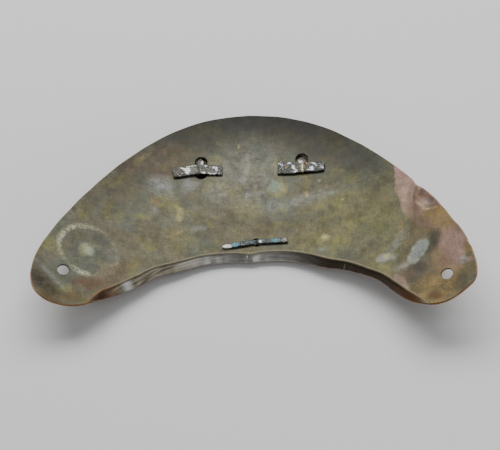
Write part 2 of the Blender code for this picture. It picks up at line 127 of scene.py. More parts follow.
# Dents: place, half length, half breadth, degrees from +Y towards +X, depth; a ridge's is negative
Dent = namedtuple("Dent", "x y half_length half_breadth turn depth")
DENTS = (
    Dent(56.7, 87.6, 6.2, 2.1, 8.0, 1.10),
    Dent(61.8, 84.7, 3.9, 3.3, 0.0, 0.82),
    Dent(58.5, 89.2, 2.6, 0.75, 18.0, -0.55),
    Dent(66.8, 68.0, 9.0, 2.6, 22.0, 0.22),
    Dent(-55.2, 71.6, 9.0, 8.4, 0.0, 0.16),
    Dent(-47.5, 53.5, 5.0, 2.4, 60.0, -0.16),
)


def follow_table(rows, at, column):
    """Smooth curve through one column of a table, against its first column, and level outside it."""
    if at <= rows[0][0]:
        return getattr(rows[0], column)
    if at >= rows[-1][0]:
        return getattr(rows[-1], column)
    i = max(k for k in range(len(rows) - 1) if rows[k][0] <= at)
    around = [rows[max(i - 1, 0)], rows[i], rows[i + 1], rows[min(i + 2, len(rows) - 1)]]
    before, start, end, after = [row[0] for row in around]
    value_before, value_start, value_end, value_after = [getattr(row, column) for row in around]
    step = end - start
    t = (at - start) / step
    start_slope = (value_end - value_before) / (end - before) * step
    end_slope = (value_after - value_start) / (after - start) * step
    return (value_start * (2 * t**3 - 3 * t**2 + 1) + start_slope * (t**3 - 2 * t**2 + t)
            + value_end * (3 * t**2 - 2 * t**3) + end_slope * (t**3 - t**2))


SEAT_RADIUS = 30.0
WARP = 0.10
HAMMER_MARKS = 0.035


def ripple(x, y, wavelength, seed):
    """Smooth wandering number, about -1 to 1."""
    return noise.noise(Vector((x / wavelength, y / wavelength, seed)))


def open_depth(angle):
    return follow_table(OUTLINE, abs(angle) / OUTLINE_SPAN, "depth") * PLATE_DEPTH


def polar(angle, radius):
    return radius * math.sin(math.radians(angle)), radius * math.cos(math.radians(angle))


def smooth_face(x, y):
    """Height of the hollow face without its small dents, in millimetres above the floor."""
    bend = LEFT_BEND_RADIUS if x < 0 else RIGHT_BEND_RADIUS
    rise = bend - math.sqrt(bend**2 - x**2)
    dish_from = NECK_RADIUS + OUTER_DISH_START * PLATE_DEPTH
    dish = max((y - dish_from) / (NECK_RADIUS + PLATE_DEPTH - dish_from), 0.0)
    angle = math.degrees(math.atan2(x, y))
    curl = max((-angle - TIP_CURL_START) / (LEFT_TIP_ANGLE - TIP_CURL_START), 0.0)
    base = BADGE_THICKNESS + SEAT_GAP + PLATE_THICKNESS
    return base + rise + OUTER_DISH_RISE * dish**2 + LEFT_TIP_CURL * curl**2


def face_height(x, y):
    height = smooth_face(x, y)
    for dent in DENTS:
        turn = math.radians(dent.turn)
        side, forth = x - dent.x, y - dent.y
        along = (side * math.sin(turn) + forth * math.cos(turn)) / dent.half_length
        beside = (side * math.cos(turn) - forth * math.sin(turn)) / dent.half_breadth
        height -= dent.depth * math.exp(-along**2 - beside**2)
    away = min(math.hypot(x, y - BADGE_FORTH) / SEAT_RADIUS, 1.0)
    return height + away * (WARP * ripple(x, y, 21.0, 3.0) + HAMMER_MARKS * ripple(x, y, 6.5, 8.0))


BODY_COLUMNS = 290
TIP_COLUMNS = 30
FLANGE_ROWS = 7
FOLD_ROWS = 7
BODY_ROWS = 84
BORDER_WIDTH = 0.35
TIP_FULLNESS = 0.975
RIM_STEPS = 4
BORDER_WEAR = 0.35
LIP_WANDER = 0.05
TURN_WANDER = 0.06
EDGE_WANDER = 0.12
HORN_POWERS = {-1: (2.75, 1.8), 1: (3.6, 2.7)}


def plate_columns():
    body = [(TIP_ROUND_ANGLE * (2 * k / BODY_COLUMNS - 1), 0.0) for k in range(BODY_COLUMNS + 1)]
    into = [math.sin(math.pi / 2 * TIP_FULLNESS * k / TIP_COLUMNS) for k in range(1, TIP_COLUMNS + 1)]
    left = [(-TIP_ROUND_ANGLE - t * (LEFT_TIP_ANGLE - TIP_ROUND_ANGLE), t) for t in reversed(into)]
    right = [(TIP_ROUND_ANGLE + t * (RIGHT_TIP_ANGLE - TIP_ROUND_ANGLE), t) for t in into]
    return left + body + right


def fold_radius(angle):
    return NECK_RADIUS + follow_table(FLANGE, angle, "fold") * FLANGE_WIDTH


def lip_radius(angle):
    """Neck centre to the flange's lip along the unbent sheet."""
    wander = 1 + LIP_WANDER * ripple(angle, 0.0, 2.6, 1.0)
    return fold_radius(angle) - follow_table(FLANGE, angle, "width") * FLANGE_WIDTH * wander


def sheet_point(angle, radius):
    """Point of the hollow face whose distance from the neck centre, along the unbent sheet, is radius."""
    turn = math.radians(FLANGE_ANGLE) * max(follow_table(FLANGE, angle, "turn"), 0.0)
    turn *= 1 + TURN_WANDER * ripple(angle, 0.0, 1.7, 9.0)
    arc = FLANGE_BEND_RADIUS * turn
    fold_start = fold_radius(angle) + arc / 2
    past = max(fold_start - radius, 0.0)
    bent = min(past, arc)
    straight = past - bent
    bend_angle = bent / FLANGE_BEND_RADIUS
    inward = FLANGE_BEND_RADIUS * math.sin(bend_angle) + straight * math.cos(turn)
    drop = FLANGE_BEND_RADIUS * (1 - math.cos(bend_angle)) + straight * math.sin(turn)
    x, y = polar(angle, max(radius, fold_start) - inward)
    return Vector((x, y, face_height(x, y) - drop))


def fold_share(angle, radius):
    """0 on the open face, 1 where the bend ends, 2 at the flange's full width; less where it turns less."""
    turn = max(follow_table(FLANGE, angle, "turn"), 0.0)
    arc = FLANGE_BEND_RADIUS * math.radians(FLANGE_ANGLE) * turn
    past = max(fold_radius(angle) + arc / 2 - radius, 0.0)
    bent = min(past, arc) / max(arc, 0.01)
    return min(turn, 1.0) * (bent + max(past - arc, 0.0) / FLANGE_WIDTH)


# Knocks in the right horn's outer edge, outward where the depth is above zero
EdgeKnock = namedtuple("EdgeKnock", "angle half_width depth")
EDGE_KNOCKS = (
    EdgeKnock(32.3, 1.4, -0.45),
    EdgeKnock(36.2, 3.0, 0.45),
    EdgeKnock(42.2, 2.2, -0.35),
    EdgeKnock(48.8, 1.0, -0.30),
)


def knocked(angle):
    return sum(knock.depth * max(1 - ((angle - knock.angle) / knock.half_width) ** 2, 0.0) ** 2
               for knock in EDGE_KNOCKS)


def column_radii(angle, into_tip):
    """Distances along the unbent sheet of one column's points, lip first."""
    fold, lip = fold_radius(angle), lip_radius(angle)
    edge = NECK_RADIUS + open_depth(angle) + knocked(angle)
    edge += EDGE_WANDER * ripple(angle, 0.0, 3.1, 5.0)
    half_fold = min(FLANGE_BEND_RADIUS * math.radians(FLANGE_ANGLE), fold - lip) / 2
    stops = [(lip, fold - half_fold, FLANGE_ROWS), (fold - half_fold, fold + half_fold, FOLD_ROWS),
             (fold + half_fold, edge - BORDER_WIDTH, BODY_ROWS), (edge - BORDER_WIDTH, edge, 1)]
    radii = [start + (end - start) * k / rows for start, end, rows in stops for k in range(rows)] + [edge]
    outer_power, neck_power = HORN_POWERS[-1 if angle < 0 else 1]
    tip = NECK_RADIUS + TIP_REACH
    outer_edge = tip + (edge - tip) * (1 - into_tip**outer_power)**(1 / outer_power)
    neck_edge = tip - (tip - lip) * (1 - into_tip**neck_power)**(1 / neck_power)
    return [neck_edge + (outer_edge - neck_edge) * (radius - lip) / (edge - lip) for radius in radii]


def unit(vectors):
    return vectors / np.linalg.norm(vectors, axis=-1, keepdims=True)


def sheet_mesh(name, face, fold, thickness):
    """Closed sheet with a rounded rim from a grid of its upper face, marked where rim, fold and front lie."""
    columns, rows = face.shape[:2]
    normals = unit(np.cross(np.gradient(face, axis=0), np.gradient(face, axis=1)))
    normals *= np.sign(normals[columns // 2, rows // 2, 2])
    under = face - normals * thickness
    ring = ([(i, 0) for i in range(columns)] + [(columns - 1, j) for j in range(1, rows)]
            + [(i, rows - 1) for i in range(columns - 2, -1, -1)] + [(0, j) for j in range(rows - 2, 0, -1)])
    corner = np.array([face[i, j] for i, j in ring])
    up = np.array([normals[i, j] for i, j in ring])
    along = unit(np.roll(corner, -1, axis=0) - np.roll(corner, 1, axis=0))
    outward = unit(np.cross(along, up))
    border = np.zeros((columns, rows))
    border[[0, -1], :] = border[:, [0, -1]] = BORDER_WEAR
    ring_fold = np.array([fold[i, j] for i, j in ring])
    verts = [face.reshape(-1, 3), under.reshape(-1, 3)]
    marks = {"rim": [border.ravel(), border.ravel()], "fold": [fold.ravel(), fold.ravel()],
             "front": [np.zeros(columns * rows), np.ones(columns * rows)]}
    for k in range(1, RIM_STEPS):
        a = math.pi * k / RIM_STEPS
        verts.append(corner - up * thickness / 2 * (1 - math.cos(a)) + outward * thickness / 3 * math.sin(a))
        marks["rim"].append(np.ones(len(ring)))
        marks["fold"].append(ring_fold)
        marks["front"].append(np.full(len(ring), k / RIM_STEPS))
    top = [i * rows + j for i, j in ring]
    count = columns * rows
    levels = [top] + [[2 * count + k * len(ring) + n for n in range(len(ring))] for k in range(RIM_STEPS - 1)]
    levels.append([count + index for index in top])
    faces = []
    for i in range(columns - 1):
        for j in range(rows - 1):
            a, b = i * rows + j, (i + 1) * rows + j
            faces.append((a, b, b + 1, a + 1))
            faces.append((count + a, count + a + 1, count + b + 1, count + b))
    for upper, lower in zip(levels, levels[1:]):
        for n in range(len(ring)):
            following = (n + 1) % len(ring)
            faces.append((upper[following], upper[n], lower[n], lower[following]))
    mesh = bpy.data.meshes.new(name)
    mesh.from_pydata((np.concatenate(verts) * MM + np.array(NECK_CENTRE)).tolist(), [], faces)
    for mark, values in marks.items():
        mesh.attributes.new(mark, "FLOAT", "POINT").data.foreach_set("value", np.concatenate(values))
    return mesh


def tidy_normals(mesh, angle):
    """Faces turned outwards, shaded smooth up to an angle in degrees."""
    bm = bmesh.new()
    bm.from_mesh(mesh)
    bmesh.ops.recalc_face_normals(bm, faces=bm.faces)
    bm.to_mesh(mesh)
    bm.free()
    mesh.shade_smooth()
    mesh.set_sharp_from_angle(angle=math.radians(angle))


def add_piece(name, mesh):
    piece = bpy.data.objects.new(name, mesh)
    bpy.context.scene.collection.objects.link(piece)
    return piece


def combine(piece, helpers, operation):
    """Cuts or joins the helpers into the piece for good, then removes them."""
    for helper in helpers:
        step = piece.modifiers.new(helper.name, "BOOLEAN")
        step.object = helper
        step.operation = operation
        step.solver = "MANIFOLD"
    bpy.context.view_layer.update()
    graph = bpy.context.evaluated_depsgraph_get()
    mesh = bpy.data.meshes.new_from_object(piece.evaluated_get(graph))
    piece.modifiers.clear()
    piece.data = mesh
    for helper in helpers:
        bpy.data.objects.remove(helper, do_unlink=True)


def place(x, y, z):
    """Point of the scene from plan millimetres."""
    return NECK_CENTRE + Vector((x, y, z)) * MM


def ring_mesh(name, rings, looped=False):
    """Closed mesh from rings of as many points each, joined end to end or flat at both ends."""
    bm = bmesh.new()
    levels = [[bm.verts.new(point) for point in ring] for ring in rings]
    for low, high in zip(levels, levels[1:] + (levels[:1] if looped else [])):
        for k in range(len(low)):
            following = (k + 1) % len(low)
            bm.faces.new((low[k], low[following], high[following], high[k]))
    if not looped:
        bm.faces.new(list(reversed(levels[0])))
        bm.faces.new(levels[-1])
    bmesh.ops.recalc_face_normals(bm, faces=bm.faces)
    mesh = bpy.data.meshes.new(name)
    bm.to_mesh(mesh)
    bm.free()
    return mesh


HOLE_SIDES = 48
CUT_REACH = 4.0
UPPER_BREAK = 0.20
LOWER_BREAK = 0.16
NICK_HEIGHT = 9.0


def hole_cutter(name, centre, half_width, straight, rough, tilt):
    """Round or long hole with its edges broken, cut square to the sheet where tilt is set."""
    x, y = centre
    levels = ((-CUT_REACH, LOWER_BREAK), (-PLATE_THICKNESS - 0.02, LOWER_BREAK),
              (-PLATE_THICKNESS + 0.15, 0.0), (-0.17, 0.0), (0.02, UPPER_BREAK), (CUT_REACH, UPPER_BREAK))
    rings = []
    for height, flare in levels:
        ring = []
        for k in range(HOLE_SIDES):
            a = 2 * math.pi * (k + 0.5) / HOLE_SIDES
            radius = half_width + flare + rough * ripple(math.cos(a), math.sin(a), 0.5, x)
            stretch = math.copysign(straight / 2, math.sin(a))
            ring.append((radius * math.cos(a), radius * math.sin(a) + stretch, height))
        rings.append(ring)
    cutter = add_piece(name, ring_mesh(name, rings))
    turn = Matrix.Identity(4)
    if tilt:
        slope_x = (face_height(x + 2, y) - face_height(x - 2, y)) / 4
        slope_y = (face_height(x, y + 2) - face_height(x, y - 2)) / 4
        turn = Vector((-slope_x, -slope_y, 1.0)).to_track_quat("Z", "Y").to_matrix().to_4x4()
    cutter.matrix_world = Matrix.Translation(place(x, y, face_height(x, y))) @ turn @ Matrix.Scale(MM, 4)
    return cutter


def nick_cutter(name, angle, half_width, depth):
    """Torn wedge in the flange's lip, closing at its depth."""
    lip, inner = [sheet_point(angle, lip_radius(angle) + along) for along in (0.0, depth)]
    inwards = (inner - lip).normalized()
    across = Vector((*polar(angle + 90, 1.0), 0.0))
    through = across.cross(inwards).normalized()
    bm = bmesh.new()
    bmesh.ops.create_cone(bm, cap_ends=True, segments=3, radius1=1.0, radius2=1.0, depth=NICK_HEIGHT)
    for vertex in bm.verts:
        at_point = vertex.co.y > 0.5
        reach = depth if at_point else -depth
        spread = 0.12 * vertex.co.z if at_point else math.copysign(half_width, vertex.co.x)
        vertex.co = place(*(lip + inwards * reach + across * spread + through * vertex.co.z))
    mesh = bpy.data.meshes.new(name)
    bm.normal_update()
    bm.to_mesh(mesh)
    bm.free()
    return add_piece(name, mesh)


# Split tenons: place round the band in degrees, prong lengths in shares of BADGE_RADIUS, degrees that
# each prong slants towards the neck
BADGE_RADIUS = 21.3
Tenon = namedtuple("Tenon", "name around left right left_slant right_slant")
LEFT_TENON = Tenon("tenon_left", -62.0, 0.44, 0.40, 11.0, 0.0)
RIGHT_TENON = Tenon("tenon_right", 63.8, 0.445, 0.34, -5.0, 4.0)
NECK_TENON = Tenon("tenon_neck", 175.7, 0.56, 0.515, 10.0, 0.0)
SLOT_INWARD = 0.8


def tenon_place(tenon):
    x, y = polar(tenon.around, BADGE_RADIUS)
    return BADGE_SIDE + x, BADGE_FORTH + y


def slot_place(tenon, outward):
    x, y = tenon_place(tenon)
    return x - math.copysign(SLOT_INWARD, x), y + outward


def plan_place(angle, across):
    return polar(angle, NECK_RADIUS + across * open_depth(angle))


Hole = namedtuple("Hole", "name place half_width straight rough tilt")
HOLES = (
    Hole("hole_left", plan_place(-45.3, 0.57), 2.0, 0.0, 0.05, True),
    Hole("hole_right", plan_place(50.5, 0.50), 2.0, 0.0, 0.05, True),
    Hole("slot_left", slot_place(LEFT_TENON, 1.1), 2.2, 5.26, 0.14, False),
    Hole("slot_right", slot_place(RIGHT_TENON, 2.2), 2.2, 4.43, 0.14, False),
    Hole("neck_hole", tenon_place(NECK_TENON), 1.6, 0.0, 0.12, False),
)

# Nicks in the flange's lip: degrees, half width at the lip, depth
Nick = namedtuple("Nick", "name angle half_width depth")
NICKS = (Nick("nick_right", 26.4, 0.85, 2.4), Nick("nick_crack", -1.9, 0.42, 0.95))
CREASE_ANGLE = 40

columns = [(angle, column_radii(angle, into_tip)) for angle, into_tip in plate_columns()]
face_grid = np.array([[sheet_point(angle, radius) for radius in radii] for angle, radii in columns])
fold_grid = np.array([[fold_share(angle, radius) for radius in radii] for angle, radii in columns])
plate = add_piece("gorget_plate", sheet_mesh("gorget_plate", face_grid, fold_grid, PLATE_THICKNESS))
tidy_normals(plate.data, CREASE_ANGLE)
cutters = [hole_cutter(*hole) for hole in HOLES]
cutters += [nick_cutter(*nick) for nick in NICKS]
combine(plate, cutters, "DIFFERENCE")
plate.data.shade_smooth()
plate.data.set_sharp_from_angle(angle=math.radians(CREASE_ANGLE))


class Amount:
    """A number that varies over a surface. Arithmetic on it adds Math nodes to its finish."""

    def __init__(self, finish, socket):
        self.finish = finish
        self.socket = socket

    def maths(self, operation, *numbers):
        return self.finish.node("ShaderNodeMath", {"operation": operation}, dict(enumerate(numbers)))

    def __add__(self, other):
        return self.maths("ADD", self, other)

    def __sub__(self, other):
        return self.maths("SUBTRACT", self, other)

    def __rsub__(self, other):
        return self.maths("SUBTRACT", other, self)

    def __mul__(self, other):
        return self.maths("MULTIPLY", self, other)

    __radd__ = __add__
    __rmul__ = __mul__

    def between(self, start, end):
        """0 at start, 1 at end, smooth between them and level beyond."""
        ends = {"Value": self, "From Min": start, "From Max": end}
        return self.finish.node("ShaderNodeMapRange", {"interpolation_type": "SMOOTHSTEP"}, ends)


class Finish:
    """One material and the nodes that make it."""

    def __init__(self, name, roughness, metallic):
        self.material = bpy.data.materials.new(name)
        self.material.use_nodes = True
        self.tree = self.material.node_tree
        self.shader = self.tree.nodes["Principled BSDF"]
        self.shader.inputs["Roughness"].default_value = roughness
        self.shader.inputs["Metallic"].default_value = metallic

    def set(self, socket, value):
        if isinstance(value, Amount):
            self.tree.links.new(value.socket, socket)
        else:
            socket.default_value = value

    def node(self, kind, settings=None, inputs=None, output=0):
        """Adds a node, sets it, fills or links its sockets, and gives one of its outputs."""
        made = self.tree.nodes.new(kind)
        for name, value in (settings or {}).items():
            setattr(made, name, value)
        for name, value in (inputs or {}).items():
            self.set(made.inputs[name], value)
        return Amount(self, made.outputs[output])

    def blend(self, first, second, share):
        """Colour that goes from first to second with share."""
        inputs = {0: share, 6: first, 7: second}
        return self.node("ShaderNodeMix", {"data_type": "RGBA"}, inputs, 2)

    def vector(self, operation, first, second=(0.0, 0.0, 0.0), scale=1.0):
        inputs = {0: first, 1: second, 3: scale}
        return self.node("ShaderNodeVectorMath", {"operation": operation}, inputs)

    def spot(self):
        """Metres in the part's own frame."""
        return self.node("ShaderNodeTexCoord", output="Object")

    def plan(self):
        """Millimetres from the neck centre in plan, with no height."""
        from_centre = self.vector("SUBTRACT", self.spot(), NECK_CENTRE[:])
        return self.vector("MULTIPLY", from_centre, (1 / MM, 1 / MM, 0))

    def attribute(self, name):
        return self.node("ShaderNodeAttribute", {"attribute_name": name}, {}, "Fac")

    def cloud(self, spot, per_mm, detail=3.0, roughness=0.55, seed=0.0, output="Fac"):
        inputs = {"Vector": self.vector("ADD", spot, (seed, -seed, seed)), "Scale": per_mm,
                  "Detail": detail, "Roughness": roughness}
        return self.node("ShaderNodeTexNoise", {}, inputs, output)

    def oval(self, spot, stain):
        """Distance from an oval stain's middle, 1 on its outline."""
        seat = {"Vector": spot, "Location": (stain.x, stain.y, 0.0),
                "Rotation": (0.0, 0.0, -math.radians(stain.turn)),
                "Scale": (stain.half_breadth, stain.half_length, 1.0)}
        local = self.node("ShaderNodeMapping", {"vector_type": "TEXTURE"}, seat)
        return self.node("ShaderNodeVectorMath", {"operation": "LENGTH"}, {0: local}, "Value")

    def wander(self, spot, reach, per_mm, seed=0.0):
        """The same place pushed about by up to reach, for ragged outlines."""
        push = self.cloud(spot, per_mm, 3.0, 0.6, seed, "Color")
        push = self.vector("SUBTRACT", push, (0.5, 0.5, 0.5))
        push = self.vector("MULTIPLY", push, (2 * reach, 2 * reach, 0.0))
        return self.vector("ADD", spot, push)

    def finish(self, colour=None, roughness=None, metallic=None, relief=None, depth=0.0001):
        """Links what varies to the shader; relief goes through one Bump node of that depth in metres."""
        for name, value in (("Base Color", colour), ("Roughness", roughness), ("Metallic", metallic)):
            if value is not None:
                self.set(self.shader.inputs[name], value)
        if relief is not None:
            bump = self.node("ShaderNodeBump", {}, {"Height": relief, "Distance": depth, "Strength": 1.0})
            self.set(self.shader.inputs["Normal"], bump)
        return self.material


MIDDLE_LEVEL = 128
SHADE_AT_MIDDLE = 0.083
LEVELS_PER_E = 41.0
BRIGHTEST = 0.9


def tint(*levels):
    """Base colour that shows as about these 0 to 255 levels under this light."""
    shades = [SHADE_AT_MIDDLE * math.exp((level - MIDDLE_LEVEL) / LEVELS_PER_E) for level in levels]
    return (*[min(shade, BRIGHTEST) for shade in shades], 1.0)


# Stains: place, half length, half breadth, strength, degrees from +Y towards +X, softness of the edge
Stain = namedtuple("Stain", "x y half_length half_breadth share turn soft", defaults=(0, 0.6))


def stains(*rows):
    return [Stain(*row) for row in rows]


# Pale grey water stains, and one painted highlight
HAZE_AND_HIGHLIGHT = stains(
    (-21.6, 102.6, 3.0, 2.6, 0.6, 20, 0.85),
    (-31.0, 100.6, 4.2, 3.0, 0.6, -50, 0.95),
    (-1.5, 108.5, 8.0, 2.0, 0.5, 5),
    (-0.6, 98.0, 1.8, 0.9, 0.7, 10),
    (-9.6, 97.7, 0.8, 1.6, 0.55),
    (1.0, 106.0, 13.0, 11.0, 0.26, 0, 0.9),
    (9.0, 93.4, 2.0, 3.6, 0.45, -20, 0.7),
    (18.5, 94.0, 12.5, 2.2, 0.35, 78, 0.7),
    (-33.5, 90.5, 1.6, 1.8, 0.4),
    (-18.0, 83.0, 0.9, 2.2, 0.45),
    (45.7, 65.3, 1.8, 2.2, 0.75),
    (48.6, 64.9, 1.2, 1.4, 0.6),
    (49.6, 69.8, 7.0, 1.1, 0.4, 35, 0.7),
    (51.5, 60.8, 1.2, 2.6, 0.5, -30),
    (70.4, 58.2, 1.4, 1.8, 0.55),
    # Pale streak along the bend near the left tip: painted highlight
    (-66.8, 59.6, 6.4, 0.7, 0.4, -42, 0.8),
    (-10.0, 104.0, 9.0, 5.0, 0.3, 0, 0.9),
)
GOLD = stains(
    (-12.4, 112.2, 2.6, 2.4, 0.6, 0, 0.65),
    (-13.0, 102.8, 1.7, 4.8, 0.5, 0, 0.7),
    (-15.4, 99.6, 1.3, 2.0, 0.45, 0, 0.7),
    (-38.2, 87.0, 1.2, 3.0, 0.55, 10),
    (-57.8, 86.4, 3.0, 1.8, 0.5, -25),
    (-0.6, 91.5, 4.4, 4.6, 0.55, 0, 0.8),
    (20.0, 100.8, 3.8, 0.8, 0.55, -4),
    (22.0, 76.5, 4.0, 7.0, 0.5, -20, 0.75),
    (33.0, 82.0, 11.0, 12.0, 0.45, 0, 0.8),
    (31.0, 91.0, 8.0, 4.5, 0.3, -30, 0.7),
    (-24.0, 77.5, 4.5, 4.0, 0.4, 0, 0.8),
    (-38.0, 113.2, 1.0, 3.4, 0.4, -40),
    (13.0, 108.0, 3.0, 6.0, 0.25, 0, 0.8),
    (46.0, 82.0, 14.0, 8.0, 0.55, -15, 0.9),
    (46.0, 66.0, 8.0, 6.0, 0.5, 20, 0.9),
    (10.6, 99.4, 3.3, 3.0, 0.55, -35, 0.4),
)
PALE_YELLOW = stains(
    (-25.1, 88.4, 3.6, 1.0, 0.55, -4, 0.9),
    (-24.5, 82.0, 0.9, 0.9, 0.55),
    (-4.0, 119.5, 0.7, 0.4, 0.7),
    (20.4, 96.8, 1.0, 0.7, 0.85),
    (26.5, 77.5, 1.2, 1.5, 0.6, 30, 0.8),
    (32.7, 92.1, 0.5, 0.5, 0.6),
    (25.2, 101.9, 0.4, 0.4, 0.8),
    (46.9, 65.6, 0.9, 1.2, 0.65),
    (52.6, 51.4, 0.9, 0.9, 0.7),
)
OCHRE = stains(
    (-64.5, 50.6, 1.2, 6.5, 0.55, 14),
    (-33.4, 94.4, 2.2, 1.4, 0.7, -45),
    (-26.5, 81.0, 2.0, 1.2, 0.45),
    (65.2, 77.4, 6.4, 4.2, 1, -35, 0.35),
    (73.4, 61.2, 3.6, 1.1, 0.75, -25, 0.5),
    (62.0, 49.6, 6.0, 10.0, 0.95, -30, 0.5),
    (63.2, 61.6, 5.0, 1.6, 0.5, -8),
    (52.0, 77.0, 2.6, 1.2, 0.45, -12),
)
TAN_BROWN = stains(
    (60.8, 76.0, 5.0, 6.5, 0.85, 60, 0.9),
    (58.0, 68.0, 9.0, 7.0, 0.6, 10, 0.8),
    (62.0, 60.0, 7.0, 6.0, 0.65, 0, 0.8),
    (54.0, 60.0, 8.0, 4.0, 0.5, 30, 0.8),
    (72.4, 67.4, 9.0, 1.2, 0.6, -20, 0.7),
    (-34.0, 112.0, 6.0, 13.0, 0.4, -12, 0.9),
    (-49.0, 61.0, 3.0, 12.0, 0.55, -38, 0.8),
)
DARK_OCHRE = stains(
    (-68.6, 55.4, 7.0, 2.8, 1, -44, 0.8),
    (-58.5, 51.2, 1.2, 5.0, 0.5, 10, 0.7),
)
RUST = stains(
    (-54.2, 58.2, 1.8, 4.4, 0.8, 4, 0.8),
    (-59.4, 52.6, 1.2, 2.8, 0.55, 10),
    (-48.5, 58.7, 0.8, 3.0, 0.45, -20),
    (60.6, 46.6, 1.4, 2.4, 0.75, 20),
    (61.2, 88.0, 1.6, 1.6, 0.65, 0, 0.7),
    (21.0, 90.0, 2.0, 0.9, 0.3, 0, 0.8),
)
PINK = stains(
    (59.6, 90.4, 18.0, 8.2, 0.9, -12, 0.1),
    (68.2, 65.4, 10.6, 4.7, 0.95, 2, 0.4),
    (66.0, 57.6, 4.2, 5.0, 0.85, 30),
    (72.8, 57.4, 1.6, 1.8, 0.6, 0, 0.5),
    (50.6, 55.0, 4.6, 1.9, 0.65, -30),
    (53.2, 61.4, 1.2, 1.4, 0.6),
    (53.0, 68.4, 1.6, 1.2, 0.45),
    (-0.3, 81.8, 2.4, 0.22, 0.7, -14),
    (0.6, 81.5, 2.4, 0.20, 0.7, -2),
    (1.6, 81.3, 2.2, 0.20, 0.6, 14),
)
BROWN = stains(
    (56.6, 75.6, 4.0, 3.4, 0.55, 30),
    (55.4, 69.6, 4.4, 1.7, 0.6, 25),
    (9.0, 83.0, 3.4, 8.0, 0.45, -10, 0.8),
    (-30.5, 117.0, 2.4, 5.0, 0.45, -20, 0.8),
    (-47.0, 95.0, 6.0, 6.0, 0.25, 0, 0.8),
    (54.2, 56.6, 3.0, 2.0, 0.5, 0, 0.7),
)
# Dark olive patina; the first two rows are painted shade on the lower right side of the hump round the grey
# oval
DARK_OLIVE_AND_SHADE = stains(
    (62.2, 67.6, 4.2, 2.0, 0.85, 22, 0.55),
    (56.8, 59.4, 2.6, 2.4, 0.85, -30, 0.55),
    (69.6, 49.6, 3.4, 2.2, 0.7, 30),
    (-34.0, 115.0, 0.9, 0.8, 0.6),
    (-29.3, 116.4, 0.7, 0.6, 0.6),
    (-25.5, 117.0, 0.7, 0.6, 0.6),
    (38.0, 105.6, 3.2, 3.4, 0.6, 0, 0.8),
    (26.0, 115.0, 3.2, 8.0, 0.4, 20, 0.8),
    (42.0, 72.0, 1.2, 1.4, 0.5),
    (44.4, 92.0, 3.4, 2.4, 0.35, 0, 0.8),
    (-71.2, 66.0, 4.5, 1.6, 0.45, -20, 0.8),
)
TEAL = stains(
    (29.4, 95.7, 0.5, 1.6, 0.5, -10),
    (24.6, 72.4, 0.7, 1.0, 0.45),
    (61.4, 84.8, 1.4, 1.4, 0.3, 0, 0.8),
)
# Pale lines along the dent's ridge on the right horn: scratches and painted highlight
SCAR_AND_HIGHLIGHT = stains(
    (58.6, 90.2, 3.0, 0.45, 0.8, 14),
    (59.0, 84.4, 2.8, 0.5, 0.55, -29, 0.7),
    (62.4, 82.2, 0.5, 2.2, 0.55, -5, 0.7),
)
# Rust-brown beside that ridge: partly rust, partly painted shade
SCAR_RUST_AND_SHADE = stains(
    (60.4, 89.4, 1.6, 1.0, 0.8, 30),
    (56.0, 87.8, 5.0, 0.9, 0.45, 8, 0.7),
    (62.2, 86.0, 1.1, 1.4, 0.6),
)
CRACK = stains((-0.45, 73.0, 3.6, 0.13, 0.85, 16, 0.4))
RING = Stain(-55.2, 71.2, 10.9, 8.8, 1, -45, 0)
Spot = namedtuple("Spot", "stain colour")
SPOTS = (
    Spot(Stain(-55.9, 71.5, 2.2, 2.0, 0.7, 0, 0.7), tint(166, 164, 132)),
    Spot(Stain(-54.8, 71.2, 1.7, 1.3, 0.65, 0, 0.7), tint(152, 162, 152)),
    Spot(Stain(9.8, 100.2, 3.4, 3.0, 0.55, 0, 0.55), tint(160, 158, 120)),
    Spot(Stain(9.1, 100.8, 2.5, 2.2, 0.8, 0, 0.4), tint(146, 157, 146)),
    Spot(Stain(57.1, 65.4, 5.0, 2.4, 0.7, 35, 0.25), tint(164, 172, 160)),
    Spot(Stain(57.1, 65.4, 4.2, 1.8, 0.9, 35, 0.35), tint(148, 149, 146)),
)
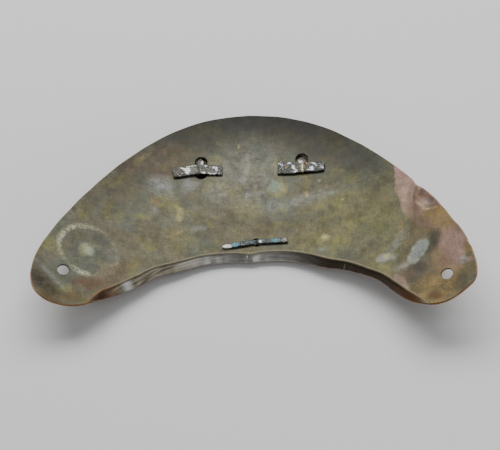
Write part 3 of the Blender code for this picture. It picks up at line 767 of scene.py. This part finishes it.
# Painted highlights on the neck flange: a white glint on the left and a broad pale sheen in the middle
FLANGE_HIGHLIGHTS = stains(
    (-41.6, 59.2, 1.4, 2.4, 0.4, 55, 0.95),
    (0.0, 71.0, 4.0, 22.0, 0.25, 0, 0.8),
)
RING_BRIGHT = stains(
    (-62.5, 76.0, 6.5, 3.6, 0.55, 20, 0.9),
    (-55.0, 81.0, 3.0, 6.0, 0.3),
    (-57.5, 62.4, 3.0, 7.5, 0.5, -35),
)
RING_DARK = stains(
    (-52.6, 75.6, 1.6, 4.2, 0.6, 15),
    (-59.6, 70.7, 2.2, 1.2, 0.45),
    (-55.2, 65.0, 1.0, 2.0, 0.5),
    (-51.6, 64.8, 1.0, 1.0, 0.55),
    (-50.0, 70.0, 3.0, 1.4, 0.35),
)
StainLayer = namedtuple("StainLayer", "name colour crisp rows")
STAIN_LAYERS = (
    StainLayer("pink", tint(166, 146, 137), True, PINK),
    StainLayer("tan_brown", tint(128, 110, 82), False, TAN_BROWN),
    StainLayer("brown", tint(106, 92, 72), False, BROWN),
    StainLayer("gold", tint(141, 137, 86), False, GOLD),
    StainLayer("ochre", tint(150, 134, 92), False, OCHRE),
    StainLayer("dark_ochre", tint(66, 46, 8), False, DARK_OCHRE),
    StainLayer("rust", tint(114, 82, 36), False, RUST),
    StainLayer("dark_olive_and_shade", tint(78, 76, 60), False, DARK_OLIVE_AND_SHADE),
    StainLayer("haze_and_highlight", tint(156, 157, 154), False, HAZE_AND_HIGHLIGHT),
    StainLayer("ring_dark", tint(84, 84, 78), False, RING_DARK),
    StainLayer("pale_yellow", tint(176, 170, 130), False, PALE_YELLOW),
    StainLayer("teal", tint(150, 162, 150), False, TEAL),
    StainLayer("scar_rust_and_shade", tint(96, 78, 62), False, SCAR_RUST_AND_SHADE),
    StainLayer("scar_and_highlight", tint(196, 184, 160), False, SCAR_AND_HIGHLIGHT),
)


def oval_reach(places, stain):
    """Distance of plan places from an oval's middle, 1 on its outline."""
    turn = math.radians(stain.turn)
    side, forth = places[:, 0] - stain.x, places[:, 1] - stain.y
    along = (side * math.sin(turn) + forth * math.cos(turn)) / stain.half_length
    beside = (side * math.cos(turn) - forth * math.sin(turn)) / stain.half_breadth
    return np.hypot(along, beside)


def stain_strength(places, rows):
    strength = np.zeros(len(places))
    for row in rows:
        t = np.clip((1 + row.soft - oval_reach(places, row)) / (2 * row.soft), 0.0, 1.0)
        strength = np.maximum(strength, row.share * t * t * (3 - 2 * t))
    return strength


def plan_places(mesh):
    """Plan places of a mesh's points."""
    points = np.zeros(3 * len(mesh.vertices))
    mesh.vertices.foreach_get("co", points)
    return ((points.reshape(-1, 3) - np.array(NECK_CENTRE)) / MM)[:, :2]


def pushed(places, reach, wavelength):
    """Places pushed about a little, which makes the outlines of stains ragged."""
    push = [(ripple(x, y, wavelength, 9.3), ripple(x, y, wavelength, 27.7)) for x, y in places]
    return places + reach * np.array(push)


def write_marks(mesh, marks):
    for name, values in marks.items():
        mesh.attributes.new(name, "FLOAT", "POINT").data.foreach_set("value", values)


def ramp(values, start, end):
    return np.clip((values - start) / (end - start), 0.0, 1.0)


# Dark crown along the outer edge, partly patina and partly painted shade: its middle and its reach to each
# side, in degrees
SHADED_CROWN_MIDDLE = 6
SHADED_CROWN_LEFT = 42.0
SHADED_CROWN_RIGHT = 24.0


def mark_plate(mesh):
    """Writes what the finish needs at each point: stains, the reach of the dark crown along the outer edge,
    which is partly patina and partly painted shade, the flange's painted highlights, and the flange's ends,
    which carry painted shade and painted light.
    """
    places = plan_places(mesh)
    angles = np.degrees(np.arctan2(places[:, 0], places[:, 1]))
    depths = np.array([open_depth(angle) for angle in angles])
    ragged = pushed(places, 0.9, 5.0)
    marks = {layer.name: stain_strength(ragged, layer.rows) for layer in STAIN_LAYERS}
    marks["edge_gap"] = NECK_RADIUS + depths - np.hypot(places[:, 0], places[:, 1])
    crown_shade_reach = np.where(angles > SHADED_CROWN_MIDDLE, SHADED_CROWN_RIGHT, SHADED_CROWN_LEFT)
    marks["crown_patina_and_shade"] = np.clip(1 - ((angles - SHADED_CROWN_MIDDLE) / crown_shade_reach) ** 2, 0.0, 1.0)
    marks["crack"] = stain_strength(places, CRACK)
    marks["ring_bright"] = stain_strength(places, RING_BRIGHT)
    marks["flange_highlight"] = stain_strength(places, FLANGE_HIGHLIGHTS)
    marks["right_flange_brown_and_shade"] = ramp(angles, 8.0, 24.0)
    marks["right_end_painted_light"] = ramp(angles, 41.0, 49.0)
    marks["left_flange"] = ramp(angles, -36.2, -40.7)
    write_marks(mesh, marks)


def plate_finish():
    skin = Finish("patinated_brass", 0.5, 0.65)
    flat = skin.plan()
    ragged = skin.wander(flat, 1.6, 0.4, 4.0)
    torn = skin.wander(flat, 0.55, 0.9, 14.0)

    mottle = skin.cloud(ragged, 0.17, 5.0, 0.68, 11.0).between(0.38, 0.64)
    greener = skin.cloud(ragged, 0.08, 6.0, 0.70, 71.0).between(0.42, 0.60)
    yellower = skin.cloud(ragged, 0.12, 6.0, 0.72, 81.0).between(0.50, 0.66)
    browner = skin.cloud(ragged, 0.10, 6.0, 0.70, 91.0).between(0.50, 0.66)
    fray = skin.cloud(torn, 0.5, 6.0, 0.74, 61.0)
    lengthways = skin.cloud(skin.vector("MULTIPLY", torn, (1.0, 0.22, 1.0)), 1.5, 3.0, 0.6, 41.0)
    crossways = skin.cloud(skin.vector("MULTIPLY", torn, (0.22, 1.0, 1.0)), 1.5, 3.0, 0.6, 31.0)
    grain = skin.cloud(torn, 1.7, 3.0, 0.7, 21.0)
    texture = grain * 0.60 + lengthways * 0.26 + crossways * 0.16 + fray * 0.68

    colour = skin.blend(tint(124, 119, 98), tint(114, 118, 105), greener * 0.8)
    colour = skin.blend(colour, tint(142, 139, 88), yellower * 0.65)
    colour = skin.blend(colour, tint(98, 88, 66), browner * 0.6)
    # Dark band along the outer edge: partly dark patina, partly painted shade where the face dishes up away
    # from the light
    edge_patina_and_shade = (skin.attribute("edge_gap") + mottle * 5.0).between(25.0, 3.0) * skin.attribute("crown_patina_and_shade")
    colour = skin.blend(colour, tint(20, 16, 6), edge_patina_and_shade * 0.94)

    frayed = (fray - 0.5) * 2.6
    ring = skin.oval(torn, RING) + fray * 0.24
    colour = skin.blend(colour, tint(108, 108, 98), ring.between(1.13, 1.0) * 0.3)
    for layer in STAIN_LAYERS:
        strength = skin.attribute(layer.name)
        if layer.crisp:
            strength = (strength + frayed * 0.22).between(0.36, 0.64) * strength
        else:
            strength = strength * (frayed + 1.0).between(0.1, 1.6) * 1.3
        colour = skin.blend(colour, layer.colour, strength)
    for spot in SPOTS:
        reach = skin.oval(torn, spot.stain) - frayed * 0.3
        inside = reach.between(1.0 + spot.stain.soft, 1.0 - spot.stain.soft)
        colour = skin.blend(colour, spot.colour, inside * spot.stain.share)
    speckled = (grain * 0.7 + fray * 0.5).between(0.40, 0.80)
    band = ring.between(0.96, 1.10) * ring.between(1.28, 1.12) * speckled
    colour = skin.blend(colour, tint(180, 180, 162), band * (skin.attribute("ring_bright") * 1.6 + 0.12))
    colour = skin.vector("SCALE", colour, scale=texture * 1.9 - 0.62)
    crack = skin.attribute("crack")
    colour = skin.blend(colour, tint(184, 160, 124), crack)

    fold = skin.attribute("fold")
    turned = fold.between(0.25, 0.8)
    drawn = skin.cloud(skin.vector("MULTIPLY", skin.spot(), (150, 150, 2500)), 1.0, 3.0, 0.6, 51.0)
    lip = skin.blend(tint(162, 158, 146), tint(104, 94, 80), drawn.between(0.35, 0.66))
    # Painted highlight: glint and sheen on the flange
    lip = skin.blend(lip, tint(232, 232, 228), skin.attribute("flange_highlight") * 0.8)
    lip = skin.blend(lip, tint(122, 96, 72), skin.attribute("left_flange"))
    # The flange's right part is darker brown: partly its patina, partly painted shade
    lip = skin.blend(lip, tint(102, 84, 70), skin.attribute("right_flange_brown_and_shade"))
    # The flange's right end, turned away from the lamps, is painted lighter: painted light
    lip = skin.blend(lip, tint(156, 126, 98), skin.attribute("right_end_painted_light"))
    colour = skin.blend(colour, lip, turned * 0.9)
    # Pale line along the fold's crest: painted highlight, coppery on the left flange
    fold_highlight = fold.between(0.0, 0.12) * fold.between(0.5, 0.25)
    fold_highlight_colour = skin.blend(tint(172, 164, 146), tint(168, 132, 96), skin.attribute("left_flange"))
    colour = skin.blend(colour, fold_highlight_colour, fold_highlight * (mottle * 0.3 + 0.5))
    worn = (skin.attribute("rim") + grain * 0.5).between(0.75, 1.05)
    colour = skin.blend(colour, tint(178, 142, 100), worn * 0.85)

    front = skin.attribute("front")
    gilt = skin.blend(tint(168, 140, 84), tint(126, 106, 68), mottle)
    gilt = skin.blend(gilt, tint(90, 76, 50), texture.between(0.85, 0.70) * 0.6)
    colour = skin.blend(colour, gilt, front)

    rough = mottle * 0.08 + grain * 0.12 + 0.40 - turned * 0.12
    metal = worn * 0.30 + turned * 0.15 + front * 0.2 + 0.65
    relief = texture * 0.7 + mottle * 0.4 - crack * 2.0
    return skin.finish(colour, rough, metal, relief, 0.00006)


def cover(piece, material):
    piece.data.materials.clear()
    piece.data.materials.append(material)


mark_plate(plate.data)
cover(plate, plate_finish())
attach(plate, "root")
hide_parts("plate")

# Each split tenon is a short brass bar whose foot is riveted in the front band. Its two halves are
# parted on the back of the plate and hammered flat. Those of the upper pair are broad and tinned, the
# tin chipped off in pale flakes; the narrow one by the neck edge has grown blue-green verdigris.
PRONG_THICKNESS = 0.65
SHANK_THICKNESS = 1.5
LUG_RISE = 0.25
LUG_RADIUS = 1.6
LUG_HALF_LENGTH = 2.5
LUG_OUTWARD = 2.6
RIVET_FLARE = 0.4
RIVET_HEIGHT = 0.9
LAND_RECESS = 0.3
PRONG_STEPS = 46
SECTION_POINTS = 44
SECTION_SQUARENESS = 5.0
TIP_ROUND = 0.3
CLEFT_DEPTH = 0.30
CLEFT_REACH = 0.30
BROKEN_EDGE = 0.15
LUG_SIDES = 36
LUG_LUMPS = 0.10
PRONG_CREASE_ANGLE = 50

# Prong outline: share of its length from the shank, share of the prong's width
Breadth = namedtuple("Breadth", "along width")
BLUNT = (Breadth(0.0, 1.0), Breadth(0.3, 0.96), Breadth(0.7, 1.02), Breadth(0.95, 1.0), Breadth(1.0, 0.92))
SPREAD = (Breadth(0.0, 1.0), Breadth(0.45, 1.28), Breadth(1.0, 1.3))
TAPERED = (Breadth(0.0, 1.0), Breadth(0.6, 0.97), Breadth(1.0, 0.84))
POINTED = (Breadth(0.0, 0.9), Breadth(0.35, 1.0), Breadth(0.75, 0.85), Breadth(0.93, 0.6), Breadth(1.0, 0.25))

# The tenon, its shank's width, its prongs' width, their rise over the shank and its reach, outlines
TenonForm = namedtuple("TenonForm", "tenon shank width rise reach left right")
TENON_FORMS = (
    TenonForm(LEFT_TENON, 2.2, 4.2, 0.35, 1.7, BLUNT, BLUNT),
    TenonForm(RIGHT_TENON, 2.2, 4.2, 0.35, 1.7, SPREAD, TAPERED),
    TenonForm(NECK_TENON, 1.9, 1.9, -0.30, 0.9, POINTED, BLUNT),
)


def prong_stations(form):
    """Plan offset from the shank, distance, width and roundness of each section, tip to tip."""
    tenon = form.tenon
    stations = []
    for side, length, slant, outline in ((-1, tenon.left, tenon.left_slant, form.left),
                                         (1, tenon.right, tenon.right_slant, form.right)):
        reach = length * BADGE_RADIUS
        heading = Vector((side * math.cos(math.radians(slant)), -math.sin(math.radians(slant))))
        for k in (range(PRONG_STEPS, 0, -1) if side < 0 else range(PRONG_STEPS + 1)):
            share = math.sin(math.pi / 2 * k / PRONG_STEPS)
            to_tip = min((1 - share) * reach / TIP_ROUND, 1.0)
            fullness = math.sqrt(1 - 0.6 * (1 - to_tip) ** 2)
            width = follow_table(outline, share, "width") * form.width
            stations.append((heading * reach * share, reach * share, width, fullness))
    return stations


def squared(value):
    """Cosine or sine pushed towards 1 and -1, for a round-cornered oblong."""
    return math.copysign(abs(value) ** (2 / SECTION_SQUARENESS), value)


def prong_mesh(form):
    """Both prongs as one hammered strip with the cleft between them."""
    shank = Vector(tenon_place(form.tenon))
    stations = prong_stations(form)
    rings = []
    for k, (offset, distance, width, fullness) in enumerate(stations):
        heading = (stations[min(k + 3, len(stations) - 1)][0] - stations[max(k - 3, 0)][0]).normalized()
        beside = Vector((-heading.y, heading.x))
        middle = shank + offset
        cleft = CLEFT_DEPTH * math.exp(-(distance / CLEFT_REACH) ** 2)
        rise = form.rise * math.exp(-(distance / form.reach) ** 2)
        low = face_height(middle.x, middle.y) + SEAT_GAP + rise
        ring = []
        for n in range(SECTION_POINTS):
            a = 2 * math.pi * n / SECTION_POINTS
            ragged = 1 + 0.04 * ripple(distance, math.cos(a), 0.8, shank.x)
            reach = squared(math.cos(a)) * (width / 2 - 0.2 * (1 - fullness)) * ragged
            place_here = middle + beside * reach
            lumps = 0.08 * ripple(*place_here, 1.3, 6.0) + 0.05 * ripple(*place_here, 0.5, 14.0)
            lift = squared(math.sin(a)) * fullness
            height = low + PRONG_THICKNESS * (1 + lift) / 2 + (lumps - cleft) * max(lift, 0.0)
            ring.append(place(*place_here, height))
        rings.append(ring)
    return ring_mesh(form.tenon.name, rings)


def block_mesh(name, size, middle):
    """Block with broken edges."""
    bm = bmesh.new()
    bmesh.ops.create_cube(bm, size=1.0)
    bmesh.ops.scale(bm, vec=size, verts=bm.verts)
    bmesh.ops.bevel(bm, geom=bm.edges, offset=BROKEN_EDGE, segments=2, profile=0.5, affect="EDGES")
    for vertex in bm.verts:
        vertex.co = place(*(vertex.co + Vector(middle)))
    mesh = bpy.data.meshes.new(name)
    bm.to_mesh(mesh)
    bm.free()
    return mesh


def lug_mesh(tenon):
    """Domed, hammered root that fills most of the slot."""
    x, y = tenon_place(tenon)
    top = face_height(x, y) + LUG_RISE
    x -= math.copysign(SLOT_INWARD - 0.3, x)
    rings = []
    for height, size in ((-1.05, 1.0), (-0.25, 1.0), (-0.05, 0.97), (0.03, 0.88), (0.07, 0.7), (0.10, 0.4)):
        ring = []
        for n in range(LUG_SIDES):
            a = 2 * math.pi * n / LUG_SIDES
            lump = LUG_LUMPS * ripple(math.cos(a) * size, math.sin(a) * size, 0.6, x)
            ring.append(place(x + LUG_RADIUS * size * math.cos(a),
                              y + LUG_OUTWARD + LUG_HALF_LENGTH * size * math.sin(a),
                              top + height + (lump if height > -0.2 else 0.0)))
        rings.append(ring)
    return ring_mesh("lug", rings)


def build_tenon(form):
    x, y = tenon_place(form.tenon)
    foot_middle = LAND_RECESS + RIVET_HEIGHT / 2
    top = face_height(x, y) + SEAT_GAP + form.rise + PRONG_THICKNESS / 2
    shank_size = (SHANK_THICKNESS, form.shank, top - foot_middle)
    foot_size = (SHANK_THICKNESS + 2 * RIVET_FLARE, form.shank + 2 * RIVET_FLARE, RIVET_HEIGHT)
    piece = add_piece(form.tenon.name + "_visual", prong_mesh(form))
    helpers = [add_piece("shank", block_mesh("shank", shank_size, (x, y, (top + foot_middle) / 2))),
               add_piece("foot", block_mesh("foot", foot_size, (x, y, foot_middle)))]
    if form.tenon is not NECK_TENON:
        helpers.append(add_piece("lug", lug_mesh(form.tenon)))
    combine(piece, helpers, "UNION")
    tidy_normals(piece.data, PRONG_CREASE_ANGLE)
    return piece


# Marks on the tenons, in plan places as the plate's stains are
SILVER = stains(
    (-20.1, 108.0, 2.0, 2.0, 0.8, 0, 0.4),
    (-17.2, 108.3, 2.6, 2.0, 0.65, 0, 0.4),
    (-13.0, 108.2, 2.2, 3.0, 0.6, 0, 0.5),
    (-25.6, 107.2, 2.4, 1.6, 0.35, 10),
    (19.2, 108.0, 3.0, 1.9, 0.45, 0, 0.5),
    (-17.4, 111.8, 1.6, 1.6, 0.55, 0, 0.5),
    (25.4, 107.6, 2.0, 1.8, 0.5),
    (13.0, 109.6, 1.0, 2.6, 0.5),
)
YELLOWED = stains(
    (19.2, 107.8, 2.8, 0.9, 0.85),
    (18.6, 110.6, 0.9, 1.0, 0.7),
    (-22.4, 107.9, 1.6, 1.6, 0.6),
)
TAN = stains(
    (-25.8, 107.6, 0.9, 0.7, 0.55, 0, 0.5),
    (-15.0, 107.4, 0.4, 1.0, 0.6, 0, 0.5),
    (-17.6, 112.4, 0.6, 0.8, 0.5, 0, 0.5),
    (-14.6, 109.3, 0.5, 0.9, 0.45, 0, 0.5),
    (13.6, 109.0, 0.9, 0.8, 0.85, -20, 0.4),
    (21.1, 109.5, 1.1, 1.2, 0.9, 30, 0.4),
    (20.5, 110.6, 0.8, 0.7, 0.8, 0, 0.4),
    (17.4, 107.2, 1.5, 0.5, 0.7, 0, 0.4),
    (21.2, 106.8, 0.9, 1.1, 0.6, 0, 0.5),
)
CREAM = stains(
    (-22.0, 109.6, 0.5, 0.9, 1, 0, 0.35),
    (-23.8, 108.6, 0.4, 0.8, 0.95, 15, 0.35),
    (-22.1, 107.6, 1.4, 0.9, 1, 12, 0.35),
    (-20.6, 110.0, 0.4, 0.6, 0.9, 0, 0.35),
    (-18.9, 110.6, 0.3, 0.3, 0.9, 0, 0.35),
    (-19.5, 109.9, 0.3, 0.5, 0.75, 0, 0.35),
    (-17.0, 111.5, 1.0, 0.5, 0.9, 0, 0.35),
    (-15.5, 110.1, 0.3, 0.7, 1, 0, 0.3),
    (-16.4, 106.9, 0.4, 0.7, 0.85, 0, 0.35),
    (-14.2, 106.6, 0.3, 0.6, 0.8, 0, 0.35),
    (-12.4, 109.4, 0.4, 1.0, 0.85, 5, 0.35),
    (-11.8, 108.3, 0.3, 0.5, 0.75, 0, 0.35),
    (-10.8, 109.1, 0.3, 0.3, 0.8, 0, 0.35),
    (-12.8, 106.6, 0.3, 0.9, 0.75, 0, 0.35),
    (11.0, 110.3, 0.22, 0.7, 1, 25, 0.35),
    (11.9, 109.8, 0.25, 0.6, 0.95, -40, 0.35),
    (14.6, 110.2, 0.28, 0.7, 1, -10, 0.35),
    (16.1, 107.9, 1.5, 0.45, 1, -38, 0.3),
    (15.4, 109.0, 0.5, 0.6, 0.9, 0, 0.35),
    (16.6, 106.2, 0.3, 0.9, 0.95, 0, 0.35),
    (18.6, 110.5, 0.7, 0.7, 0.95, 0, 0.4),
    (17.8, 111.6, 0.8, 0.3, 0.95, 0, 0.35),
    (19.2, 107.8, 1.9, 0.3, 0.6, 0, 0.5),
    (23.2, 109.2, 0.3, 1.4, 0.95, 34, 0.35),
    (22.6, 106.9, 0.8, 0.9, 1, 10, 0.3),
    (21.3, 106.4, 0.3, 0.5, 0.8, 0, 0.35),
    (25.9, 107.8, 0.5, 0.3, 0.85, -10, 0.35),
    (26.5, 106.5, 0.4, 0.2, 0.9, 0, 0.35),
    (-8.2, 75.2, 0.9, 1.9, 1, 10, 0.25),
    (3.7, 77.2, 0.6, 0.6, 0.7, 0, 0.35),
)
VERDIGRIS = stains(
    (-5.0, 75.9, 1.1, 1.5, 0.72, 10, 0.25),
    (-0.7, 77.1, 0.6, 1.0, 0.45),
    (9.0, 77.3, 1.1, 1.7, 0.72, 0, 0.25),
    (2.0, 77.2, 0.9, 1.2, 0.35),
)
BARE = stains(
    (12.1, 77.3, 1.1, 1.3, 0.72, 0, 0.25),
    (-2.2, 75.9, 0.3, 0.3, 0.8, 0, 0.4),
    (7.4, 76.9, 0.2, 0.3, 0.6, 0, 0.4),
)


TENON_MARKS = {"silver": SILVER, "yellowed": YELLOWED, "tan": TAN, "cream": CREAM,
               "verdigris": VERDIGRIS, "bare": BARE}


def tenon_finish(name, bare, flaked, patches):
    """Bare metal under the patches of the table, each a mark and its colour, chipped along its edge."""
    skin = Finish(name, 0.5, 0.5)
    flat = skin.plan()
    mottle = skin.cloud(flat, 0.9, 4.0, 0.65, 5.0).between(0.38, 0.62)
    chip = skin.cloud(flat, 2.2, 5.0, 0.75, 17.0)
    grain = skin.cloud(flat, 4.5, 3.0, 0.7, 29.0)
    colour = skin.blend(bare, tint(118, 120, 114), mottle * 0.7)
    flecks = (chip * 0.6 + grain * 0.4).between(0.54, 0.59)
    colour = skin.blend(colour, flaked, flecks * (skin.attribute("silver") * 0.7 + 0.3))
    for mark, shade in patches:
        strength = (skin.attribute(mark) * 0.85 + (chip + grain - 1.0) * 2.4).between(0.38, 0.58)
        colour = skin.blend(colour, shade, strength)
    pits = (chip * 0.4 + grain * 0.6).between(0.46, 0.41)
    colour = skin.blend(colour, tint(36, 40, 40), pits * 0.75)
    pale = skin.attribute("cream")
    relief = chip * 0.6 + grain * 0.3 + pale * 0.3
    return skin.finish(colour, grain * 0.25 + 0.4, pale * -0.5 + 0.5, relief, 0.00008)


tinned = tenon_finish("tinned_brass", tint(70, 74, 75), tint(220, 214, 194), (
    ("silver", tint(138, 138, 128)), ("yellowed", tint(176, 168, 124)), ("tan", tint(148, 130, 108)),
    ("cream", tint(246, 242, 226))))
verdigris = tenon_finish("verdigris_brass", tint(82, 96, 98), tint(150, 164, 160), (
    ("bare", tint(160, 157, 149)), ("verdigris", tint(124, 164, 172)), ("cream", tint(246, 240, 222))))
for form in TENON_FORMS:
    tenon_piece = build_tenon(form)
    spots = pushed(plan_places(tenon_piece.data), 0.2, 0.7)
    write_marks(tenon_piece.data, {mark: stain_strength(spots, rows) for mark, rows in TENON_MARKS.items()})
    neck_one = form.tenon is NECK_TENON
    cover(tenon_piece, verdigris if neck_one else tinned)
    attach(tenon_piece, "root")
    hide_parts(form.tenon.name)

# The band on the front is brass too, and stands for the hidden badge. Its front land is flat, its edges
# are eased, its back follows the plate, and three mortises hold the tenons' feet. It has gone dull.
BADGE_WIDTH = 6.0
BADGE_EDGE = 1.1
MORTISE_GAP = 0.3
MORTISE_HEIGHT = 20.0
BAND_SIDES = 200
BACK_STEPS = 8
EDGE_STEPS = 6
BACK_CLEARANCE = 0.05
BACK_EASE = 0.12


def badge_mesh():
    inner, outer = BADGE_RADIUS - BADGE_WIDTH / 2, BADGE_RADIUS + BADGE_WIDTH / 2
    rings = []
    for k in range(BAND_SIDES):
        angle = 360 * k / BAND_SIDES
        ring = []
        for n in range(BACK_STEPS + 1):
            radius = inner + (outer - inner) * n / BACK_STEPS
            x, y = polar(angle, radius)
            x, y = x + BADGE_SIDE, y + BADGE_FORTH
            eased = BACK_EASE if n in (0, BACK_STEPS) else 0.0
            back = face_height(x, y) - PLATE_THICKNESS - SEAT_GAP - BACK_CLEARANCE - eased
            ring.append(place(x, y, back))
        for side, at in ((-1, outer), (1, inner)):
            turns = range(EDGE_STEPS + 1) if side < 0 else range(EDGE_STEPS, -1, -1)
            for n in turns:
                a = math.pi / 2 * n / EDGE_STEPS
                radius = at + side * BADGE_EDGE * (1 - math.cos(a))
                height = BADGE_EDGE * (1 - math.sin(a))
                x, y = polar(angle, radius)
                ring.append(place(x + BADGE_SIDE, y + BADGE_FORTH, height))
        rings.append(ring)
    return ring_mesh("front_badge_visual", rings, looped=True)


badge = add_piece("front_badge_visual", badge_mesh())
mortises = []
for form in TENON_FORMS:
    x, y = tenon_place(form.tenon)
    width, length = SHANK_THICKNESS + 2 * MORTISE_GAP, form.shank + 2 * MORTISE_GAP
    mortise = (width, length, MORTISE_HEIGHT)
    mortises.append(add_piece("mortise", block_mesh("mortise", mortise, (x, y, 0.0))))
    pocket_height = 2 * (LAND_RECESS + RIVET_HEIGHT + MORTISE_GAP)
    pocket = (width + 2 * RIVET_FLARE, length + 2 * RIVET_FLARE, pocket_height)
    mortises.append(add_piece("pocket", block_mesh("pocket", pocket, (x, y, 0.0))))
combine(badge, mortises, "DIFFERENCE")
tidy_normals(badge.data, CREASE_ANGLE)

gilding = Finish("badge_brass", 0.45, 0.85)
band_spot = gilding.plan()
tarnish = gilding.cloud(band_spot, 0.25, 4.0, 0.6, 3.0).between(0.38, 0.62)
scratch = gilding.cloud(gilding.vector("MULTIPLY", band_spot, (0.2, 1.0, 1.0)), 2.0, 3.0, 0.7, 9.0)
fine = gilding.cloud(band_spot, 2.0, 4.0, 0.7, 19.0)
gold = gilding.blend((0.36, 0.25, 0.10, 1.0), (0.20, 0.14, 0.06, 1.0), tarnish)
gold = gilding.blend(gold, (0.10, 0.07, 0.035, 1.0), (fine + tarnish * 0.3).between(0.55, 0.85) * 0.7)
gold = gilding.blend(gold, (0.50, 0.38, 0.18, 1.0), scratch.between(0.62, 0.72) * 0.5)
# The band's upper part, close under the plate, is painted near black: painted shade
height = gilding.node("ShaderNodeSeparateXYZ", {}, {"Vector": gilding.spot()}, "Z")
gold = gilding.blend(gold, (0.030, 0.022, 0.012, 1.0), height.between(0.0010, 0.0018) * 0.9)
gilding.finish(gold, tarnish * 0.15 + fine * 0.2 + 0.28, None, fine * 0.5 + scratch * 0.5, 0.00004)
cover(badge, gilding.material)
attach(badge, "root")
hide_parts("front_badge")

# The floor is a plain pale sheet under soft studio light. Most of the light comes from behind and above,
# and a low lamp on the right lights the neck flange. The camera stands where the photograph's stood.
FLOOR_HALF = 2.0
floor_mesh = bpy.data.meshes.new("floor")
floor_mesh.from_pydata([(-FLOOR_HALF, -FLOOR_HALF, 0), (FLOOR_HALF, -FLOOR_HALF, 0),
                        (FLOOR_HALF, FLOOR_HALF, 0), (-FLOOR_HALF, FLOOR_HALF, 0)], [], [(0, 1, 2, 3)])
floor = add_piece("floor", floor_mesh)
paper = Finish("pale_paper", 0.8, 0.0)
floor_mesh.materials.append(paper.finish(colour=(0.78, 0.78, 0.77, 1.0)))

ROOM_COLOUR = (0.9, 0.94, 1.0, 1.0)
ROOM_STRENGTH = 0.22
world = bpy.data.worlds.new("soft_room")
bpy.context.scene.world = world
world.use_nodes = True
world.node_tree.nodes["Background"].inputs["Color"].default_value = ROOM_COLOUR
world.node_tree.nodes["Background"].inputs["Strength"].default_value = ROOM_STRENGTH

# Lamps: place, width and height in metres, watts

Lamp = namedtuple("Lamp", "name x y z width height watts")
LAMPS = (
    Lamp("key_behind", -0.05, 0.50, 0.78, 1.20, 0.50, 11.5),
    Lamp("fill_front", 0.30, -0.30, 0.85, 0.60, 0.60, 0.8),
    Lamp("low_right", 0.48, -0.60, 0.19, 0.80, 0.28, 2.0),
)
for lamp in LAMPS:
    light = bpy.data.lights.new(lamp.name, "AREA")
    light.shape = "RECTANGLE"
    light.size = lamp.width
    light.size_y = lamp.height
    light.energy = lamp.watts
    holder = bpy.data.objects.new(lamp.name, light)
    bpy.context.scene.collection.objects.link(holder)
    holder.location = (lamp.x, lamp.y, lamp.z)
    holder.rotation_euler = (-holder.location).to_track_quat("-Z", "Y").to_euler()

CAMERA_DISTANCE = 487.0
CAMERA_TILT = 34.74
CAMERA_YAW = 2.5
CAMERA_ROLL = -3.5
FOCAL_PIXELS = 1367.8
IMAGE_WIDTH = 500
SENSOR_WIDTH = 36.0
AIM = (-0.857, -0.309, 0.0)

camera_data = bpy.data.cameras.new("camera")
camera_data.sensor_width = SENSOR_WIDTH
camera_data.lens = FOCAL_PIXELS / IMAGE_WIDTH * SENSOR_WIDTH
camera = bpy.data.objects.new("camera", camera_data)
bpy.context.scene.collection.objects.link(camera)
camera.matrix_world = (
    Matrix.Translation(Vector(AIM) * MM)
    @ Matrix.Rotation(math.radians(CAMERA_YAW), 4, "Z")
    @ Matrix.Rotation(math.radians(CAMERA_TILT), 4, "X")
    @ Matrix.Rotation(math.radians(CAMERA_ROLL), 4, "Z")
    @ Matrix.Translation((0.0, 0.0, CAMERA_DISTANCE * MM))
)
bpy.context.scene.camera = camera
